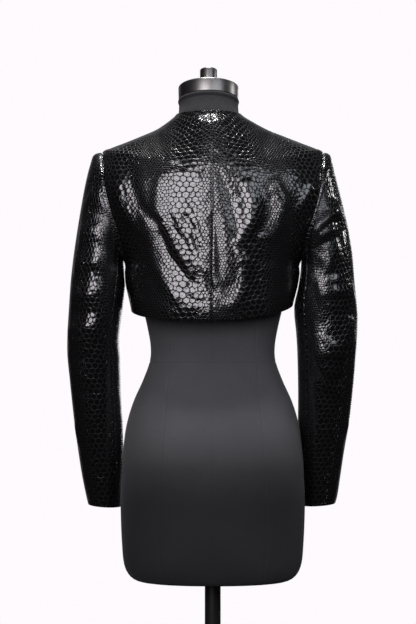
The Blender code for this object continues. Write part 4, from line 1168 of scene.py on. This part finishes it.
def scale_lattice(g, place, pitch):
    """Six-sided scales of one pitch: edge distance in pitches, height of the face, scale's middle.

    The faces are domed and each leans its own way, both in metres of height.
    """
    spot = g.vector("SCALE", place, scale=1 / pitch)
    tile = ((0.5, HEX_RISE / 2, 1), (-0.5, -HEX_RISE / 2, -1))
    straight = g.vector("WRAP", spot, *tile)
    staggered = g.vector("WRAP", g.vector("ADD", spot, HEX_STEP), *tile)
    nearer = g.math("LESS_THAN", g.vector("LENGTH", staggered), g.vector("LENGTH", straight))
    offset = g.mix(nearer, straight, staggered, "VECTOR")
    middle = g.vector("SUBTRACT", spot, offset)
    folded = g.vector("ABSOLUTE", offset)
    six_sided = g.math("MAXIMUM", g.split(folded)[0], g.vector("DOT_PRODUCT", folded, HEX_STEP))
    radius = g.total((six_sided, HEX_SHARE), (g.vector("LENGTH", offset), 1 - HEX_SHARE))
    number = g.vector("MULTIPLY_ADD", middle, (2, 2 / HEX_RISE, 0), (0.5, 0.5, 0))
    number = g.vector("FLOOR", number)
    lean = g.add("TexWhiteNoise", {"Vector": number}, noise_dimensions="2D").outputs["Color"]
    tilt = g.vector("DOT_PRODUCT", offset, g.vector("SUBTRACT", lean, (0.5, 0.5, 0.5)))
    dome = g.math("MULTIPLY", radius, radius)
    face = g.math("MULTIPLY", g.total((dome, -SCALE_DOME), (tilt, SCALE_LEAN)), pitch)
    return g.math("SUBTRACT", 0.5, radius), face, g.vector("SCALE", middle, scale=pitch)


def within_band(g, middle, reach):
    """1 where a scale's middle lies within reach of a band's middle line, else 0."""
    turns = g.math("ADD", g.math("DIVIDE", g.split(middle)[0], BAND_REPEAT), 0.5)
    away = g.math("ABSOLUTE", g.math("SUBTRACT", g.math("FRACT", turns), 0.5))
    return g.math("LESS_THAN", away, reach / BAND_REPEAT)


def leather_material(name, slack):
    """Near-black glossy scales of four sizes, with matte grooves between them."""
    g = material_graph(name)
    cut = g.place("UV")
    place = g.vector("ADD", cut, g.shift(cut, 9.0, 0.013))
    place = g.vector("ADD", place, g.shift(cut, 75.0, 0.0030, 0.0))
    smallest, *larger = SCALE_SIZES
    distance, face, _ = scale_lattice(g, place, smallest.pitch)
    depth, groove = smallest.pitch, smallest.groove
    for size in larger:
        away, dome, middle = scale_lattice(g, place, size.pitch)
        here = within_band(g, middle, size.reach)
        distance = g.mix(here, distance, away)
        face = g.mix(here, face, dome)
        groove = g.mix(here, groove, size.groove)
        depth = g.mix(here, depth, size.pitch)
    raised = g.ramp(distance, 0.02, groove)
    pebble = g.noise(cut, 900.0, 1.0)
    crinkle = g.noise(cut, 210.0, 1.0)
    rumple = g.noise(cut, 46.0)
    worn = g.ramp(g.noise(cut, 13.0, 1.0), 0.45, 0.62)
    height = g.total(
        (g.math("MULTIPLY", raised, depth), 0.010),
        face,
        (pebble, 0.000012),
        (crinkle, g.mix(worn, 0.00010, 0.00022)),
        (rumple, g.mix(worn, 0.0003 * slack, 0.0012 * slack)),
    )
    scuff = g.ramp(g.noise(cut, 330.0), 0.36, 0.60)
    tone = g.shade(pebble, (0.0035, 0.0035, 0.0038), (0.0065, 0.0063, 0.0066))
    return g.finish(
        Base_Color=g.shade(raised, (0.022, 0.022, 0.024), tone),
        Roughness=g.mix(raised, 0.60, g.mix(pebble, 0.09, 0.16)),
        Specular_Tint=g.shade(raised, 0.06, g.shade(scuff, 0.58, 1.0)),
        Normal=g.bump(height, 1.0, 1.0),
        IOR=2.5,
    )


def backing_material():
    """The leather's plain napped back."""
    g = material_graph("embossed_leather_back")
    nap = g.noise(g.place("Object"), 700.0, 3.0, "3D")
    return g.finish(
        Base_Color=g.shade(nap, 0.012, (0.030, 0.029, 0.028)),
        Roughness=g.mix(nap, 0.95, 0.80),
        Normal=g.bump(nap, 0.0004, 0.6),
    )


def cover_material():
    """Black knitted cover: fine stitches in rows, fuzz, uneven wear, painted light on the hips."""
    g = material_graph("form_cover_knit")
    cut = g.place("UV")
    across, along = g.split(cut)[:2]
    across = g.math("MULTIPLY", across, 2 * math.pi / STITCH_WIDTH)
    along = g.math("MULTIPLY", along, 2 * math.pi / STITCH_HEIGHT)
    rib = g.math("ABSOLUTE", g.math("SINE", g.math("MULTIPLY", across, 0.5)))
    course = g.math("SINE", g.total(along, (rib, 2.0)))
    fuzz = g.noise(cut, 1400.0)
    wear = g.noise(cut, 7.0, 3.0)
    shade = g.ramp(g.total((wear, 0.6), (fuzz, 0.4)), 0.25, 0.75)
    rise = g.split(g.place("Object"))[2]
    # Painted light: the cover's colour is lighter in a band from the hips up past the waist, where
    # light from above falls, and darker below it and higher up.
    painted_light_band = g.math("SUBTRACT", g.ramp(rise, 0.76, 0.94), g.ramp(rise, 0.98, 1.22))
    cover_tone = g.shade(shade, (0.034, 0.035, 0.038), (0.050, 0.051, 0.055))
    painted_lit_tone = g.shade(shade, (0.118, 0.121, 0.128), (0.164, 0.167, 0.175))
    return g.finish(
        Base_Color=g.shade(painted_light_band, cover_tone, painted_lit_tone),
        Roughness=0.92,
        Normal=g.bump(g.total((rib, 0.7), (course, 0.2), (fuzz, 0.8)), 0.00012, 0.7),
        Sheen_Weight=0.12,
        Sheen_Roughness=0.5,
    )


def chrome_material():
    """Polished chrome with faint turning marks and rub marks."""
    g = material_graph("chrome_polished")
    place = g.place("Object")
    rub = g.noise(place, 60.0, 4.0, "3D")
    turning = g.noise(g.vector("MULTIPLY", place, (3, 3, 900)), 4.0, 2.0, "3D")
    return g.finish(
        Base_Color=g.shade(rub, (0.36, 0.345, 0.33), (0.46, 0.445, 0.43)),
        Metallic=1.0,
        Roughness=g.mix(rub, 0.30, 0.40),
        Normal=g.bump(turning, 0.00001, 0.3),
    )


def paint_material():
    """Satin black paint with orange peel and rubbed patches."""
    g = material_graph("stand_paint")
    place = g.place("Object")
    rub = g.noise(place, 14.0, 4.0, "3D")
    return g.finish(
        Base_Color=g.shade(rub, (0.020, 0.019, 0.018), (0.034, 0.032, 0.030)),
        Roughness=g.mix(rub, 0.30, 0.44),
        Normal=g.bump(g.noise(place, 420.0, 1.0, "3D"), 0.00006, 0.5),
    )


def floor_material():
    g = material_graph("pale_floor")
    clouds = g.noise(g.place("Object"), 2.0, 3.0, "3D")
    colour = g.shade(clouds, (0.78, 0.77, 0.78), (0.82, 0.81, 0.82))
    return g.finish(Base_Color=colour, Roughness=0.7)


def add_floor():
    angles = np.linspace(0, 2 * math.pi, FLOOR_STEPS + 1)[:-1]
    mesh = bpy.data.meshes.new("floor")
    mesh.from_pydata(ring(FLOOR_RADIUS, 0.0, angles).tolist(), [], [list(range(FLOOR_STEPS))])
    mesh.materials.append(floor_material())
    floor = add_object("floor", mesh)
    floor.visible_diffuse = False
    floor.visible_glossy = False


def add_world():
    """Pale to the eye; a bright backdrop behind the form and a dim room before it for the rest."""
    world = bpy.data.worlds.new("studio")
    bpy.context.scene.world = world
    g = Graph(world)
    g.tree.nodes.clear()
    behind = g.math("MULTIPLY", g.split(g.place("Generated"))[1], -1)
    edge_from, edge_to = BACKDROP_EDGE
    inputs = {"Value": behind, "From Min": edge_from, "From Max": edge_to}
    inputs |= {"To Min": ROOM_LEVEL, "To Max": BACKDROP_LEVEL}
    strength = g.add("MapRange", inputs, interpolation_type="SMOOTHSTEP").outputs[0]
    lit = g.add("Background", {"Strength": strength})
    seen = g.add("Background", {"Color": BACKDROP_COLOUR})
    to_camera = g.add("LightPath").outputs["Is Camera Ray"]
    mixed = g.add("MixShader", {0: to_camera, 1: lit.outputs[0], 2: seen.outputs[0]})
    g.add("OutputWorld", {0: mixed.outputs[0]})


def add_light(light):
    data = bpy.data.lights.new(light.name, "AREA")
    data.shape = "RECTANGLE"
    data.size, data.size_y = light.width, light.height
    data.energy = light.power
    data.color = light.colour
    made = add_object(light.name, data)
    turn, rise = math.radians(light.azimuth), math.radians(light.elevation)
    level_share = math.cos(rise)
    towards = Vector((math.sin(turn) * level_share, math.cos(turn) * level_share, math.sin(rise)))
    made.location = LIGHT_TARGET + towards * light.distance
    made.rotation_mode = "QUATERNION"
    made.rotation_quaternion = towards.to_track_quat("Z", "Y")
    made.visible_camera = False


def add_camera():
    data = bpy.data.cameras.new("camera")
    data.lens = CAMERA_LENS
    made = add_object("camera", data)
    made.location = CAMERA_PLACE
    made.rotation_euler = (math.pi / 2, 0, math.pi)
    bpy.context.scene.camera = made


def main():
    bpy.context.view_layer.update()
    add_camera()
    add_world()
    add_floor()
    for light in LIGHTS:
        add_light(light)
    backing = backing_material()
    body_leather = [leather_material("embossed_leather_body", 1.0), backing]
    sleeve_leather = [leather_material("embossed_leather_sleeve", SLEEVE_SLACK), backing]
    add_body_panels(body_leather)
    add_sleeve(SLEEVE_LEFT, LEFT_SLEEVE_FOLDS + LEFT_SLEEVE_CREASES, 1, "left", sleeve_leather)
    add_sleeve(SLEEVE_RIGHT, RIGHT_SLEEVE_FOLDS + RIGHT_SLEEVE_CREASES, -1, "right", sleeve_leather)
    add_form(cover_material())
    add_stand(paint_material())
    add_neck_cap(chrome_material())
    bpy.context.scene.view_settings.view_transform = "Standard"


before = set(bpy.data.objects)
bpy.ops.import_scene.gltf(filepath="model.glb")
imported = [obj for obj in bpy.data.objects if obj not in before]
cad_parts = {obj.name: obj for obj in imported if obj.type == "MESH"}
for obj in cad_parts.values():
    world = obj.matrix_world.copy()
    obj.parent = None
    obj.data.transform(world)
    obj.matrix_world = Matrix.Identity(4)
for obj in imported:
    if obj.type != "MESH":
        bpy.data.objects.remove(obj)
main()
